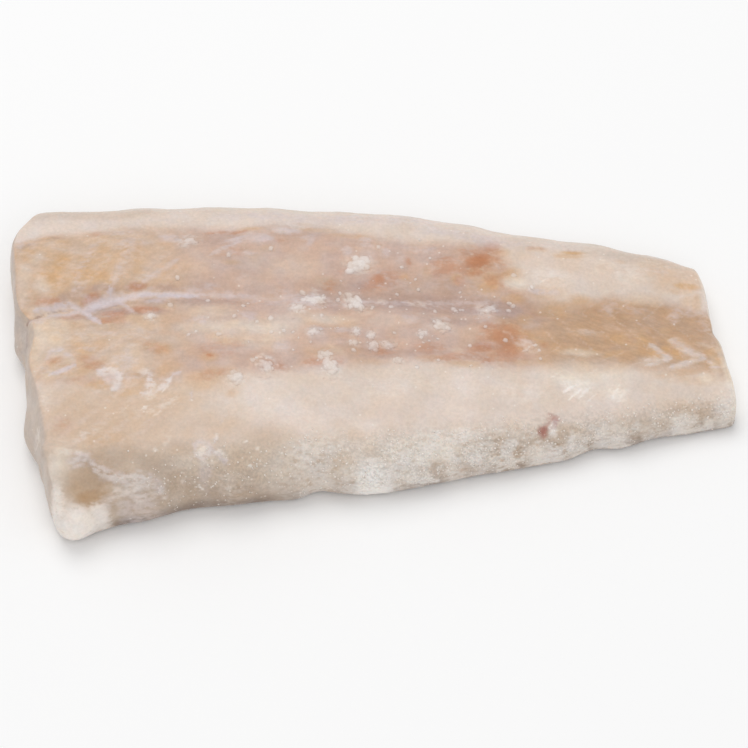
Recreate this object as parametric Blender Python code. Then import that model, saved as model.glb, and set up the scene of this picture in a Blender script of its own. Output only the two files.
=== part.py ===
"""Frozen skinless pollock fillet, lying skin side up, with clumps of ice frozen onto it.

The fillet is one solid. It starts as a box of quads, whose edges are rounded, whose plan is fitted to the two
long edges and the two cuts, and whose thickness follows the muscles. The ice is joined to it by a union.

Metres, +Z up. +X runs from the head cut to the tail cut, and +Y from the belly edge to the back edge. The
origin is at the centre of the bounding box's underside.
"""

import math
import random

import bmesh
import bpy
import numpy as np
from mathutils import Matrix, Vector
from mathutils.bvhtree import BVHTree

# Plan of the fillet: stations (x, y) on the long edges, and (share of the width from the belly edge, x) on
# the cuts.
BELLY_EDGE = (
    (-0.0845, -0.0474),
    (-0.0794, -0.0478),
    (-0.0744, -0.0492),
    (-0.0694, -0.0476),
    (-0.0634, -0.0457),
    (-0.0564, -0.0442),
    (-0.0504, -0.0421),
    (-0.0454, -0.0410),
    (-0.0394, -0.0401),
    (-0.0324, -0.0391),
    (-0.0254, -0.0386),
    (-0.0184, -0.0380),
    (-0.0124, -0.0353),
    (-0.0064, -0.0360),
    (0.0035, -0.0362),
    (0.0156, -0.0336),
    (0.0305, -0.0304),
    (0.0436, -0.0278),
    (0.0516, -0.0259),
    (0.0586, -0.0228),
    (0.0656, -0.0224),
    (0.0736, -0.0194),
    (0.0846, -0.0178),
    (0.0955, -0.0154),
)
BACK_EDGE = (
    (-0.0945, 0.0463),
    (-0.0874, 0.0471),
    (-0.0815, 0.0470),
    (-0.0704, 0.0484),
    (-0.0524, 0.0489),
    (-0.0345, 0.0505),
    (-0.0204, 0.0492),
    (-0.0095, 0.0493),
    (0.0046, 0.0481),
    (0.0185, 0.0467),
    (0.0296, 0.0447),
    (0.0405, 0.0417),
    (0.0556, 0.0411),
    (0.0705, 0.0368),
    (0.0806, 0.0348),
    (0.0866, 0.0322),
    (0.0905, 0.0294),
)
HEAD_CUT = (
    (0.00, -0.0790),
    (0.10, -0.0822),
    (0.23, -0.0837),
    (0.34, -0.0862),
    (0.44, -0.0892),
    (0.57, -0.0892),
    (0.62, -0.0926),
    (0.75, -0.0945),
    (0.90, -0.0951),
    (1.00, -0.0895),
)
TAIL_CUT = (
    (0.00, 0.0957),
    (0.12, 0.0953),
    (0.25, 0.0945),
    (0.50, 0.0925),
    (0.80, 0.0893),
    (1.00, 0.0881),
)

# Thickness: along the length where it is thickest, and across the width as a share of that.
THICKNESS = ((-0.0950, 0.0185), (-0.0400, 0.0180), (0.0200, 0.0160), (0.0600, 0.0130), (0.0950, 0.0105))
ACROSS = (
    (0.00, 0.84),
    (0.16, 0.99),
    (0.34, 1.00),
    (0.50, 0.94),
    (0.61, 0.89),
    (0.76, 0.92),
    (0.90, 0.80),
    (1.00, 0.66),
)

# Rounding of the box's edges along the length: run inwards from the cuts and from both long edges.
CUT_ROUND = ((-0.0900, 0.0020), (0.0000, 0.0020), (0.0900, 0.0015))
BELLY_ROUND = ((-0.0900, 0.0095), (0.0500, 0.0080), (0.0900, 0.0055))
BACK_ROUND = ((-0.0900, 0.0040), (0.0000, 0.0080), (0.0600, 0.0065), (0.0900, 0.0030))

# Rounding upwards, as a share of the thickness, and how square the lower edge is beside the round upper one.
TOP_ROUND = 0.62
FOOT_ROUND = 0.22
ROUND_POWER = 2.0
FOOT_POWER = 3.5

# The groove over the membrane between back and belly muscle: its line (x, y) from head to tail, and its size.
SEPTUM = (
    (-0.0886, 0.0082),
    (-0.0840, 0.0097),
    (-0.0790, 0.0117),
    (-0.0740, 0.0129),
    (-0.0660, 0.0152),
    (-0.0576, 0.0167),
    (-0.0400, 0.0163),
    (-0.0140, 0.0150),
    (0.0030, 0.0143),
    (0.0190, 0.0145),
    (0.0400, 0.0137),
    (0.0600, 0.0129),
    (0.0870, 0.0092),
    (0.0960, 0.0077),
)
GROOVE_WIDTH = 0.0022
GROOVE_DEPTH = 0.0009

# Swellings and hollows: (x, y, z) of the middle, radius, and height outwards.
LUMPS = (
    ((-0.0898, 0.0058, 0.0050), 0.0058, 0.0046),
    ((-0.0849, -0.0202, 0.0050), 0.0088, 0.0044),
    ((-0.0755, -0.0494, 0.0090), 0.0070, 0.0016),
    ((-0.0725, -0.0418, 0.0160), 0.0056, -0.0030),
)

# The raised fold of membrane round the belly flap: its line (x, y), width and height.
FOLD = (
    (-0.0816, -0.0322),
    (-0.0753, -0.0333),
    (-0.0707, -0.0344),
    (-0.0663, -0.0377),
    (-0.0625, -0.0391),
    (-0.0588, -0.0380),
    (-0.0551, -0.0386),
    (-0.0514, -0.0402),
)
FOLD_WIDTH = 0.0018
FOLD_HEIGHT = 0.0012

# Low waves of the frozen surface.
WAVE_LENGTH = 0.019
WAVE_HEIGHT = 0.00035
WAVE_COUNT = 9
WAVE_SEED = 11

# Relief fades out below this height, which keeps the underside flat.
RELIEF_FROM = 0.0030

# Heights: the underside is flat within this, and the ice is dropped from well above the fillet.
FLAT_WITHIN = 1e-7
ABOVE_ALL = 0.05

# Subdivisions of the balls that the clumps start from.
LARGE_SIDES = 2
SMALL_SIDES = 1

# Rows of quads along, across and up, and how much closer together they are at the ends.
ALONG = 68
ACROSS_ROWS = 32
UP = 6
CROWD_ALONG = 0.84
CROWD_ACROSS = 0.70

# The large clumps of ice: (x, y), length, width, half height, and turn in degrees. The last is a frost patch.
ICE_CLUMPS = (
    ((-0.0027, 0.0262), 0.0072, 0.0052, 0.0016, 5),
    ((-0.0037, 0.0144), 0.0076, 0.0044, 0.0016, -40),
    ((-0.0146, 0.0157), 0.0068, 0.0034, 0.0010, 0),
    ((-0.0184, 0.0123), 0.0038, 0.0028, 0.0008, 20),
    ((0.0190, 0.0072), 0.0050, 0.0034, 0.0012, -20),
    ((0.0138, 0.0045), 0.0028, 0.0020, 0.0007, 10),
    ((0.0006, 0.0035), 0.0028, 0.0026, 0.0009, 0),
    ((0.0011, 0.0000), 0.0033, 0.0031, 0.0010, 30),
    ((0.0052, 0.0005), 0.0046, 0.0028, 0.0009, -15),
    ((-0.0033, 0.0044), 0.0029, 0.0022, 0.0008, 80),
    ((-0.0037, 0.0005), 0.0026, 0.0024, 0.0008, 0),
    ((-0.0112, -0.0034), 0.0046, 0.0031, 0.0010, -25),
    ((-0.0098, -0.0070), 0.0054, 0.0044, 0.0013, -50),
    ((-0.0262, -0.0068), 0.0050, 0.0032, 0.0011, -55),
    ((-0.0341, -0.0106), 0.0048, 0.0039, 0.0011, 15),
    ((-0.0144, 0.0042), 0.0032, 0.0026, 0.0006, 0),
    ((0.0075, -0.0038), 0.0028, 0.0022, 0.0007, 0),
    ((0.0310, 0.0128), 0.0049, 0.0040, 0.0008, 10),
    ((0.0409, 0.0019), 0.0054, 0.0036, 0.0007, -20),
    ((-0.0476, 0.0334), 0.0049, 0.0036, 0.0008, 10),
    ((-0.0569, 0.0092), 0.0035, 0.0031, 0.0008, 0),
    ((-0.0010, -0.0344), 0.0114, 0.0080, 0.0007, 0),
)

# The small clumps: their number, sizes, stretch of x, and belts beside the septum (offset, spread, share).
SMALL_COUNT = 40
SMALL_SIZES = (0.0012, 0.0022)
SMALL_STRETCH = (-0.0560, 0.0450)
SMALL_BELTS = ((0.0, 0.0025, 0.35), (-0.0125, 0.0045, 0.40), (0.0120, 0.0050, 0.25))
SMALL_SEED = 27

# A small clump's half height as a share of its length.
SMALL_HEIGHT = 0.38

# How far any clump is sunk, as a share of its half height, and how rough it is.
ICE_SUNK = 0.30
ICE_ROUGH = 0.13
ROUGH_SEED = 5

FLESH_COLOUR = (0.62, 0.49, 0.40, 1.0)
FLESH_ROUGHNESS = 0.45


def through(stations, at):
    """Smooth value at each place through stations of (place, value)."""
    places = np.array([place for place, _ in stations])
    values = np.array([value for _, value in stations])
    slopes = np.gradient(values, places)
    at = np.clip(at, places[0], places[-1])
    left = np.clip(np.searchsorted(places, at) - 1, 0, len(places) - 2)
    gap = places[left + 1] - places[left]
    t = (at - places[left]) / gap
    rise = t * t * (3 - 2 * t)
    bend_in = t * (1 - t) ** 2 * gap * slopes[left]
    bend_out = t * t * (t - 1) * gap * slopes[left + 1]
    return values[left] * (1 - rise) + values[left + 1] * rise + bend_in + bend_out


def bump(distance, width):
    """1 at no distance, falling smoothly to nothing past about twice the width."""
    return np.exp(-((distance / width) ** 2))


def waves(x, y):
    """Uneven swell of about unit height, from a few plane waves with seeded directions."""
    rng = random.Random(WAVE_SEED)
    swell = np.zeros_like(x)
    for number in range(WAVE_COUNT):
        heading = math.pi * (number + rng.random()) / WAVE_COUNT
        pitch = math.tau / (WAVE_LENGTH * rng.uniform(0.7, 1.5))
        phase = rng.uniform(0, math.tau)
        swell += np.sin(pitch * (x * math.cos(heading) + y * math.sin(heading)) + phase)
    return swell / math.sqrt(WAVE_COUNT / 2)


def rounded(place, size, low, high):
    """Splits a place from 0 to size into the part inside the rounding and the way out to it, -1 to 1."""
    inner = np.clip(place, low, size - high)
    outward = np.where(place < inner, (place - inner) / low, (place - inner) / high)
    return inner, outward


def relief(x, y, z):
    """Height outwards of the swellings, the membrane's fold, the groove and the waves."""
    height = WAVE_HEIGHT * waves(x, y)
    height -= GROOVE_DEPTH * bump(y - through(SEPTUM, x), GROOVE_WIDTH)
    beyond = np.maximum(FOLD[0][0] - x, 0) + np.maximum(x - FOLD[-1][0], 0)
    height += FOLD_HEIGHT * bump(np.hypot(y - through(FOLD, x), beyond), FOLD_WIDTH)
    for middle, radius, rise in LUMPS:
        away = np.sqrt((x - middle[0]) ** 2 + (y - middle[1]) ** 2 + (z - middle[2]) ** 2)
        height += rise * bump(away, radius)
    return height * np.clip(z / RELIEF_FROM, 0, 1)


def fillet_surface(along, across, up):
    """Points on the fillet from shares of a box along, across and up: from head, belly edge and underside."""
    head, tail = through(HEAD_CUT, across), through(TAIL_CUT, across)
    x = head + (tail - head) * along
    length = tail - head
    width = through(BACK_EDGE, x) - through(BELLY_EDGE, x)

    # Round the box's edges in true size.
    cut_run = through(CUT_ROUND, x)
    belly_run, back_run = through(BELLY_ROUND, x), through(BACK_ROUND, x)
    in_along, out_along = rounded(along * length, length, cut_run, cut_run)
    in_across, out_across = rounded(across * width, width, belly_run, back_run)
    in_up, out_up = rounded(up, 1.0, FOOT_ROUND, TOP_ROUND)
    power = ROUND_POWER + (FOOT_POWER - ROUND_POWER) * np.maximum(-out_up, 0)
    total = np.abs(out_along) ** power + np.abs(out_across) ** power + np.abs(out_up) ** power
    reach = total ** (1 / power)
    across_run = np.where(out_across < 0, belly_run, back_run)
    up_run = np.where(out_up < 0, FOOT_ROUND, TOP_ROUND)
    along = (in_along + cut_run * out_along / reach) / length
    across = (in_across + across_run * out_across / reach) / width
    up = in_up + up_run * out_up / reach

    # Fit it between the cuts and the long edges.
    head, tail = through(HEAD_CUT, across), through(TAIL_CUT, across)
    x = head + (tail - head) * along
    belly, back = through(BELLY_EDGE, x), through(BACK_EDGE, x)
    y = belly + (back - belly) * across
    thickness = through(THICKNESS, x) * through(ACROSS, across)
    z = up * thickness

    # Add the relief along the way out.
    out = np.array((out_along / cut_run, out_across / across_run, out_up / (up_run * thickness)))
    out /= np.linalg.norm(out, axis=0)
    height = relief(x, y, z)
    return np.column_stack((x + out[0] * height, y + out[1] * height, z + np.maximum(out[2], 0) * height))


def crowded_ends(share, crowding):
    """Spaces rows of shares from 0 to 1 closer together at both ends, where the edges are rounded."""
    reach = math.pi / 2 * crowding
    return 0.5 + 0.5 * np.sin((2 * share - 1) * reach) / math.sin(reach)


def box_of_quads():
    """A box from (0, 0, 0) to (1, 1, 1), cut into rows of quads along all three axes."""
    box = bmesh.new()
    bmesh.ops.create_cube(box, size=1.0)
    bmesh.ops.translate(box, verts=box.verts, vec=Vector((0.5, 0.5, 0.5)))
    for axis, rows in enumerate((ALONG, ACROSS_ROWS, UP)):
        edges = [edge for edge in box.edges if abs(edge.verts[0].co[axis] - edge.verts[1].co[axis]) > 0.5]
        bmesh.ops.subdivide_edges(box, edges=edges, cuts=rows - 1, use_grid_fill=True)
    return box


def fillet_body():
    """The fillet before the ice is joined to it. Its underside is one flat face."""
    box = box_of_quads()
    shares = np.array([vert.co for vert in box.verts])
    along = crowded_ends(shares[:, 0], CROWD_ALONG)
    across = crowded_ends(shares[:, 1], CROWD_ACROSS)
    places = fillet_surface(along, across, shares[:, 2])
    middle = (places.min(axis=0) + places.max(axis=0)) / 2
    places[:, :2] -= middle[:2]
    for vert, place in zip(box.verts, places):
        vert.co = place
    underside = [face for face in box.faces if max(vert.co.z for vert in face.verts) < FLAT_WITHIN]
    bmesh.ops.dissolve_faces(box, faces=underside)
    return box


def small_clumps():
    """Places and sizes of the small clumps, drawn along the belts beside the septum."""
    rng = random.Random(SMALL_SEED)
    shares = [share for _, _, share in SMALL_BELTS]
    for _ in range(SMALL_COUNT):
        offset, spread, _ = rng.choices(SMALL_BELTS, weights=shares)[0]
        x = rng.uniform(*SMALL_STRETCH)
        y = float(through(SEPTUM, x)) + rng.gauss(offset, spread)
        length = rng.uniform(*SMALL_SIZES)
        yield (x, y), length, length * rng.uniform(0.7, 1.0), length * SMALL_HEIGHT, rng.uniform(0, 180)


def ice_clump(name, ground, place, length, width, height, turn, sides, rng):
    """A rough flattened ball of ice, sunk into the ground below its place."""
    point, normal, _, _ = ground.ray_cast(Vector((*place, ABOVE_ALL)), Vector((0, 0, -1)))
    ball = bmesh.new()
    bmesh.ops.create_icosphere(ball, subdivisions=sides, radius=0.5)
    for vert in ball.verts:
        vert.co *= 1 + rng.uniform(-ICE_ROUGH, ICE_ROUGH)
    bmesh.ops.scale(ball, verts=ball.verts, vec=Vector((length, width, 2 * height)))
    lean = Vector((0, 0, 1)).rotation_difference(normal)
    turned = lean.to_matrix().to_4x4() @ Matrix.Rotation(math.radians(turn), 4, "Z")
    turned.translation = point - ICE_SUNK * height * normal
    bmesh.ops.transform(ball, matrix=turned, verts=ball.verts)
    mesh = bpy.data.meshes.new(name)
    ball.to_mesh(mesh)
    ball.free()
    return bpy.data.objects.new(name, mesh)


def frozen_ice(ground):
    """A collection of every clump of ice, in place on the ground."""
    ice = bpy.data.collections.new("ice")
    rng = random.Random(ROUGH_SEED)
    for number, clump in enumerate(ICE_CLUMPS):
        ice.objects.link(ice_clump(f"clump_{number}", ground, *clump, LARGE_SIDES, rng))
    for number, clump in enumerate(small_clumps()):
        ice.objects.link(ice_clump(f"small_clump_{number}", ground, *clump, SMALL_SIDES, rng))
    for obj in ice.objects:
        obj.hide_render = True
        obj.display_type = "WIRE"
    return ice


def join_ice(fillet, ice):
    """Joins the ice to the fillet by one union, applies it, and removes the ice's own objects."""
    union = fillet.modifiers.new("ice", "BOOLEAN")
    union.operation = "UNION"
    union.operand_type = "COLLECTION"
    union.collection = ice
    union.solver = "EXACT"
    depsgraph = bpy.context.evaluated_depsgraph_get()
    joined = bpy.data.meshes.new_from_object(fillet.evaluated_get(depsgraph))
    fillet.modifiers.remove(union)
    fillet.data = joined
    for obj in list(ice.objects):
        bpy.data.objects.remove(obj)
    bpy.data.collections.remove(ice)


def keep_outer_body(mesh):
    """Drops loose scraps and fills sealed hollows: only the largest run of joined faces stays."""
    body = bmesh.new()
    body.from_mesh(mesh)
    waiting = set(body.verts)
    runs = []
    while waiting:
        run = {waiting.pop()}
        edge_of_run = list(run)
        while edge_of_run:
            vert = edge_of_run.pop()
            for edge in vert.link_edges:
                other = edge.other_vert(vert)
                if other not in run:
                    run.add(other)
                    edge_of_run.append(other)
        waiting -= run
        runs.append(run)
    largest = max(runs, key=len)
    extra = [vert for vert in body.verts if vert not in largest]
    bmesh.ops.delete(body, geom=extra, context="VERTS")
    body.to_mesh(mesh)
    body.free()


def flesh_material():
    """Pale, slightly shiny raw fish."""
    flesh = bpy.data.materials.new("flesh")
    flesh.use_nodes = True
    surface = flesh.node_tree.nodes["Principled BSDF"]
    surface.inputs["Base Color"].default_value = FLESH_COLOUR
    surface.inputs["Roughness"].default_value = FLESH_ROUGHNESS
    surface.inputs["Metallic"].default_value = 0.0
    return flesh


def main():
    for obj in list(bpy.data.objects):
        bpy.data.objects.remove(obj)
    collection = bpy.data.collections.new("pollock_fillet")
    bpy.context.scene.collection.children.link(collection)

    body = fillet_body()
    fillet = bpy.data.objects.new("fillet", bpy.data.meshes.new("fillet"))
    body.to_mesh(fillet.data)
    collection.objects.link(fillet)

    ice = frozen_ice(BVHTree.FromBMesh(body))
    bpy.context.scene.collection.children.link(ice)
    body.free()
    join_ice(fillet, ice)
    keep_outer_body(fillet.data)
    fillet.data.materials.clear()
    fillet.data.materials.append(flesh_material())
    fillet.data.shade_smooth()


if __name__ == "__main__":
    main()
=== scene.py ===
"""Frozen skinless pollock fillet, lying skin side up, with clumps of ice and frost on it.

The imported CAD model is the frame. The flesh is rebuilt over its one node at a fine scale from the same sizes,
then ice, crumbs of ice and frost grains are laid on it. Lengths are in metres, and in millimetres where a
class says so. +X runs from the head cut to the tail cut, and +Y from the belly edge to the back edge.
"""

import logging
import math
import random
from collections.abc import Iterator
from dataclasses import dataclass, replace
from enum import Enum
from functools import partial

import bmesh
import bpy
import numpy as np
from mathutils import Matrix, Vector, noise
from mathutils.bvhtree import BVHTree
from mathutils.geometry import delaunay_2d_cdt
from mathutils.kdtree import KDTree


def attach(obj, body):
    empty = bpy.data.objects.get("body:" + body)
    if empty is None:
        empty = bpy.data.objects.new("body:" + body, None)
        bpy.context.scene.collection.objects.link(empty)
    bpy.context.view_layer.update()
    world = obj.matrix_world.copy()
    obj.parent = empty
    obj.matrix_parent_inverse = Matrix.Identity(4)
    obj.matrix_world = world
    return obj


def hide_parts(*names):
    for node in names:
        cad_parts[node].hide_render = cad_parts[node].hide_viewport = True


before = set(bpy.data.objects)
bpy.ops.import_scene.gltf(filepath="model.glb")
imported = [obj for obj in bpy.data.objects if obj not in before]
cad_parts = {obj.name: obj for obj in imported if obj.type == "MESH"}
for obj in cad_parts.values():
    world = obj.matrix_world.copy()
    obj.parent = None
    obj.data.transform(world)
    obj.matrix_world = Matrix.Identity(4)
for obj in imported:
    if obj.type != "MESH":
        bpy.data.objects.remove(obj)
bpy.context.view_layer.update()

LOG = logging.getLogger("fillet")
NODE = "fillet"
BODY = "root"
MM = 0.001
THINNESS = "thinness"
# The part of a noise's range that is stretched over all of it, for soft and for crisp shades.
SOFT = (0.30, 0.70)
CRISP = (0.35, 0.65)

Pair = tuple[float, float]
Stations = tuple[Pair, ...]
Triple = tuple[float, float, float]
Colour = Triple
Mottle = tuple[float, int, int]
Row = tuple[int, ...]
Marks = tuple[tuple["Tone", tuple[Row, ...]], ...]
Socket = bpy.types.NodeSocket
Feed = Socket | float | int | str | tuple[float, ...] | bpy.types.Material


def through(stations: Stations, at: np.ndarray) -> np.ndarray:
    """Reads a smooth curve through stations.

    Args:
        stations: pairs of (place, value), in order of place.
        at: the places to read.

    Returns:
        The value at each place.
    """
    places = np.array([place for place, _ in stations])
    values = np.array([value for _, value in stations])
    slopes = np.gradient(values, places)
    at = np.clip(at, places[0], places[-1])
    left = np.clip(np.searchsorted(places, at) - 1, 0, len(places) - 2)
    gap = places[left + 1] - places[left]
    t = (at - places[left]) / gap
    rise = t * t * (3 - 2 * t)
    bend_in = t * (1 - t) ** 2 * gap * slopes[left]
    bend_out = t * t * (t - 1) * gap * slopes[left + 1]
    return values[left] * (1 - rise) + values[left + 1] * rise + bend_in + bend_out


def bump(distance: np.ndarray, width: float) -> np.ndarray:
    """1 at no distance, falling smoothly to nothing past about twice the width."""
    return np.exp(-((distance / width) ** 2))


def ease(low: float, high: float, value: np.ndarray) -> np.ndarray:
    """0 below low, 1 above high, and a smooth rise between them."""
    t = np.clip((value - low) / (high - low), 0.0, 1.0)
    return t * t * (3 - 2 * t)


def mottle(points: np.ndarray, size: float, seed: int, octaves: int = 3) -> np.ndarray:
    """Reads seeded cloudy noise at points.

    Args:
        points: one row of x, y, z for each point.
        size: the size of the largest lumps.
        seed: moves the noise, so that each use differs.
        octaves: how many finer layers are added.

    Returns:
        A value of about -1 to 1 for each point.
    """
    offset = Vector((7.1 * seed, 3.7 * seed, 5.3 * seed))
    return np.array([noise.fractal(Vector(point) / size + offset, 1.0, 2.0, octaves) for point in points])


def add_node(
    tree: bpy.types.NodeTree, kind: str, inputs: dict[int | str, Feed], **settings: object
) -> bpy.types.Node:
    """Adds a node to a tree.

    Args:
        tree: the tree.
        kind: the node's type.
        inputs: a value or another node's output for each input, by name or number.
        settings: the node's own options.

    Returns:
        The node.
    """
    node = tree.nodes.new(kind)
    for name, value in settings.items():
        setattr(node, name, value)
    for key, value in inputs.items():
        if isinstance(value, Socket):
            tree.links.new(value, node.inputs[key])
        else:
            node.inputs[key].default_value = value
    return node


@dataclass(frozen=True)
class FilletForm:
    """The fillet's shape: the same sizes as the CAD model's, worked out at any fineness.

    The shape is a box whose edges are rounded, whose plan is fitted between two long edges and two cuts, and
    whose thickness follows the muscles. The long edges, the septum and the fold give y at places along the
    fillet, and the cuts give x at shares of the way across. The thickness at a place along the fillet is
    multiplied by the share for the way across. Each rounding gives how far it reaches in: cut_round,
    belly_round and back_round at places along the fillet, top_round and foot_round as shares of the height.
    Each lump is its middle, its radius and its rise.
    """

    belly: Stations = (
        (-0.0845, -0.0474), (-0.0794, -0.0478), (-0.0744, -0.0492), (-0.0694, -0.0476), (-0.0634, -0.0457),
        (-0.0564, -0.0442), (-0.0504, -0.0421), (-0.0454, -0.0410), (-0.0394, -0.0401), (-0.0324, -0.0391),
        (-0.0254, -0.0386), (-0.0184, -0.0380), (-0.0124, -0.0353), (-0.0064, -0.0360), (0.0035, -0.0362),
        (0.0156, -0.0336), (0.0305, -0.0304), (0.0436, -0.0278), (0.0516, -0.0259), (0.0586, -0.0228),
        (0.0656, -0.0224), (0.0736, -0.0194), (0.0846, -0.0178), (0.0955, -0.0154),
    )
    back: Stations = (
        (-0.0945, 0.0463), (-0.0874, 0.0471), (-0.0815, 0.0470), (-0.0704, 0.0484), (-0.0524, 0.0489),
        (-0.0345, 0.0505), (-0.0204, 0.0492), (-0.0095, 0.0493), (0.0046, 0.0481), (0.0185, 0.0467),
        (0.0296, 0.0447), (0.0405, 0.0417), (0.0556, 0.0411), (0.0705, 0.0368), (0.0806, 0.0348),
        (0.0866, 0.0322), (0.0905, 0.0294),
    )
    head_cut: Stations = (
        (0.00, -0.0790), (0.10, -0.0822), (0.23, -0.0837), (0.34, -0.0862), (0.44, -0.0892), (0.57, -0.0892),
        (0.62, -0.0926), (0.75, -0.0945), (0.90, -0.0951), (1.00, -0.0895),
    )
    tail_cut: Stations = (
        (0.00, 0.0957), (0.12, 0.0953), (0.25, 0.0945), (0.50, 0.0925), (0.80, 0.0893), (1.00, 0.0881),
    )
    thickness: Stations = (
        (-0.0950, 0.0185), (-0.0400, 0.0180), (0.0200, 0.0160), (0.0600, 0.0130), (0.0950, 0.0105),
    )
    across: Stations = (
        (0.00, 0.84), (0.16, 0.99), (0.34, 1.00), (0.50, 0.94), (0.61, 0.89), (0.76, 0.92), (0.90, 0.80),
        (1.00, 0.66),
    )
    cut_round: Stations = ((-0.0900, 0.0020), (0.0000, 0.0020), (0.0900, 0.0015))
    belly_round: Stations = ((-0.0900, 0.0095), (0.0500, 0.0080), (0.0900, 0.0055))
    back_round: Stations = ((-0.0900, 0.0040), (0.0000, 0.0080), (0.0600, 0.0065), (0.0900, 0.0030))
    top_round: float = 0.62
    foot_round: float = 0.22
    round_power: float = 2.0
    foot_power: float = 3.5
    septum: Stations = (
        (-0.0886, 0.0082), (-0.0840, 0.0097), (-0.0790, 0.0117), (-0.0740, 0.0129), (-0.0660, 0.0152),
        (-0.0576, 0.0167), (-0.0400, 0.0163), (-0.0140, 0.0150), (0.0030, 0.0143), (0.0190, 0.0145),
        (0.0400, 0.0137), (0.0600, 0.0129), (0.0870, 0.0092), (0.0960, 0.0077),
    )
    groove_width: float = 0.0022
    groove_depth: float = 0.0009
    lumps: tuple[tuple[Triple, float, float], ...] = (
        ((-0.0898, 0.0058, 0.0050), 0.0058, 0.0046),
        ((-0.0849, -0.0202, 0.0050), 0.0088, 0.0044),
        ((-0.0755, -0.0494, 0.0090), 0.0070, 0.0016),
        ((-0.0725, -0.0418, 0.0160), 0.0056, -0.0030),
    )
    fold: Stations = (
        (-0.0816, -0.0322), (-0.0753, -0.0333), (-0.0707, -0.0344), (-0.0663, -0.0377), (-0.0625, -0.0391),
        (-0.0588, -0.0380), (-0.0551, -0.0386), (-0.0514, -0.0402),
    )
    fold_width: float = 0.0018
    fold_height: float = 0.0012
    wave_length: float = 0.019
    wave_spread: Pair = (0.7, 1.5)
    wave_height: float = 0.00035
    wave_count: int = 9
    wave_seed: int = 11
    relief_from: float = 0.0030

    def waves(self, x: np.ndarray, y: np.ndarray) -> np.ndarray:
        """Works out an uneven swell, from a few plane waves with seeded directions.

        Args:
            x: places along the fillet.
            y: places across it.

        Returns:
            The swell at each place, of about unit height.
        """
        rng = random.Random(self.wave_seed)
        swell = np.zeros_like(x)
        for number in range(self.wave_count):
            heading = math.pi * (number + rng.random()) / self.wave_count
            pitch = math.tau / (self.wave_length * rng.uniform(*self.wave_spread))
            phase = rng.uniform(0, math.tau)
            swell += np.sin(pitch * (x * math.cos(heading) + y * math.sin(heading)) + phase)
        return swell / math.sqrt(self.wave_count / 2)

    def relief(self, x: np.ndarray, y: np.ndarray, z: np.ndarray) -> np.ndarray:
        """Adds up the lumps, the membrane's fold, the groove and the waves.

        Args:
            x: places along the fillet.
            y: places across it.
            z: heights above the underside.

        Returns:
            How far the surface stands out at each place.
        """
        height = self.wave_height * self.waves(x, y)
        height -= self.groove_depth * bump(y - through(self.septum, x), self.groove_width)
        beyond = np.maximum(self.fold[0][0] - x, 0) + np.maximum(x - self.fold[-1][0], 0)
        height += self.fold_height * bump(np.hypot(y - through(self.fold, x), beyond), self.fold_width)
        for middle, radius, rise in self.lumps:
            away = np.sqrt((x - middle[0]) ** 2 + (y - middle[1]) ** 2 + (z - middle[2]) ** 2)
            height += rise * bump(away, radius)
        return height * np.clip(z / self.relief_from, 0, 1)

    @staticmethod
    def rounded(
        place: np.ndarray, size: np.ndarray | float, low: np.ndarray | float, high: np.ndarray | float
    ) -> tuple[np.ndarray, np.ndarray]:
        """Splits a place into the part inside the rounding and the way out to it.

        Args:
            place: places from 0 to size.
            size: the box's size on this axis.
            low: how far the rounding reaches in from 0.
            high: how far it reaches in from size.

        Returns:
            The place inside the rounding, and the way out, from -1 to 1.
        """
        inner = np.clip(place, low, size - high)
        return inner, np.where(place < inner, (place - inner) / low, (place - inner) / high)

    def surface(self, along: np.ndarray, across: np.ndarray, up: np.ndarray) -> tuple[np.ndarray, np.ndarray]:
        """Maps shares of a box onto the fillet.

        Args:
            along: shares from the head cut to the tail cut.
            across: shares from the belly edge to the back edge.
            up: shares from the underside to the top.

        Returns:
            The points, and the way out at each, one row of x, y, z for each point.
        """
        head, tail = through(self.head_cut, across), through(self.tail_cut, across)
        x = head + (tail - head) * along
        length = tail - head
        width = through(self.back, x) - through(self.belly, x)
        cut_run = through(self.cut_round, x)
        belly_run, back_run = through(self.belly_round, x), through(self.back_round, x)
        in_along, out_along = self.rounded(along * length, length, cut_run, cut_run)
        in_across, out_across = self.rounded(across * width, width, belly_run, back_run)
        in_up, out_up = self.rounded(up, 1.0, self.foot_round, self.top_round)
        power = self.round_power + (self.foot_power - self.round_power) * np.maximum(-out_up, 0)
        total = np.abs(out_along) ** power + np.abs(out_across) ** power + np.abs(out_up) ** power
        reach = total ** (1 / power)
        across_run = np.where(out_across < 0, belly_run, back_run)
        up_run = np.where(out_up < 0, self.foot_round, self.top_round)
        along = (in_along + cut_run * out_along / reach) / length
        across = (in_across + across_run * out_across / reach) / width
        up = in_up + up_run * out_up / reach

        head, tail = through(self.head_cut, across), through(self.tail_cut, across)
        x = head + (tail - head) * along
        belly, back = through(self.belly, x), through(self.back, x)
        y = belly + (back - belly) * across
        thickness = through(self.thickness, x) * through(self.across, across)
        z = up * thickness
        out = np.array((out_along / cut_run, out_across / across_run, out_up / (up_run * thickness)))
        out /= np.linalg.norm(out, axis=0)
        height = self.relief(x, y, z)
        lift = np.maximum(out[2], 0) * height
        points = np.column_stack((x + out[0] * height, y + out[1] * height, z + lift))
        middle = (points.min(axis=0) + points.max(axis=0)) / 2
        points[:, :2] -= middle[:2]
        return points, out.T


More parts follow.
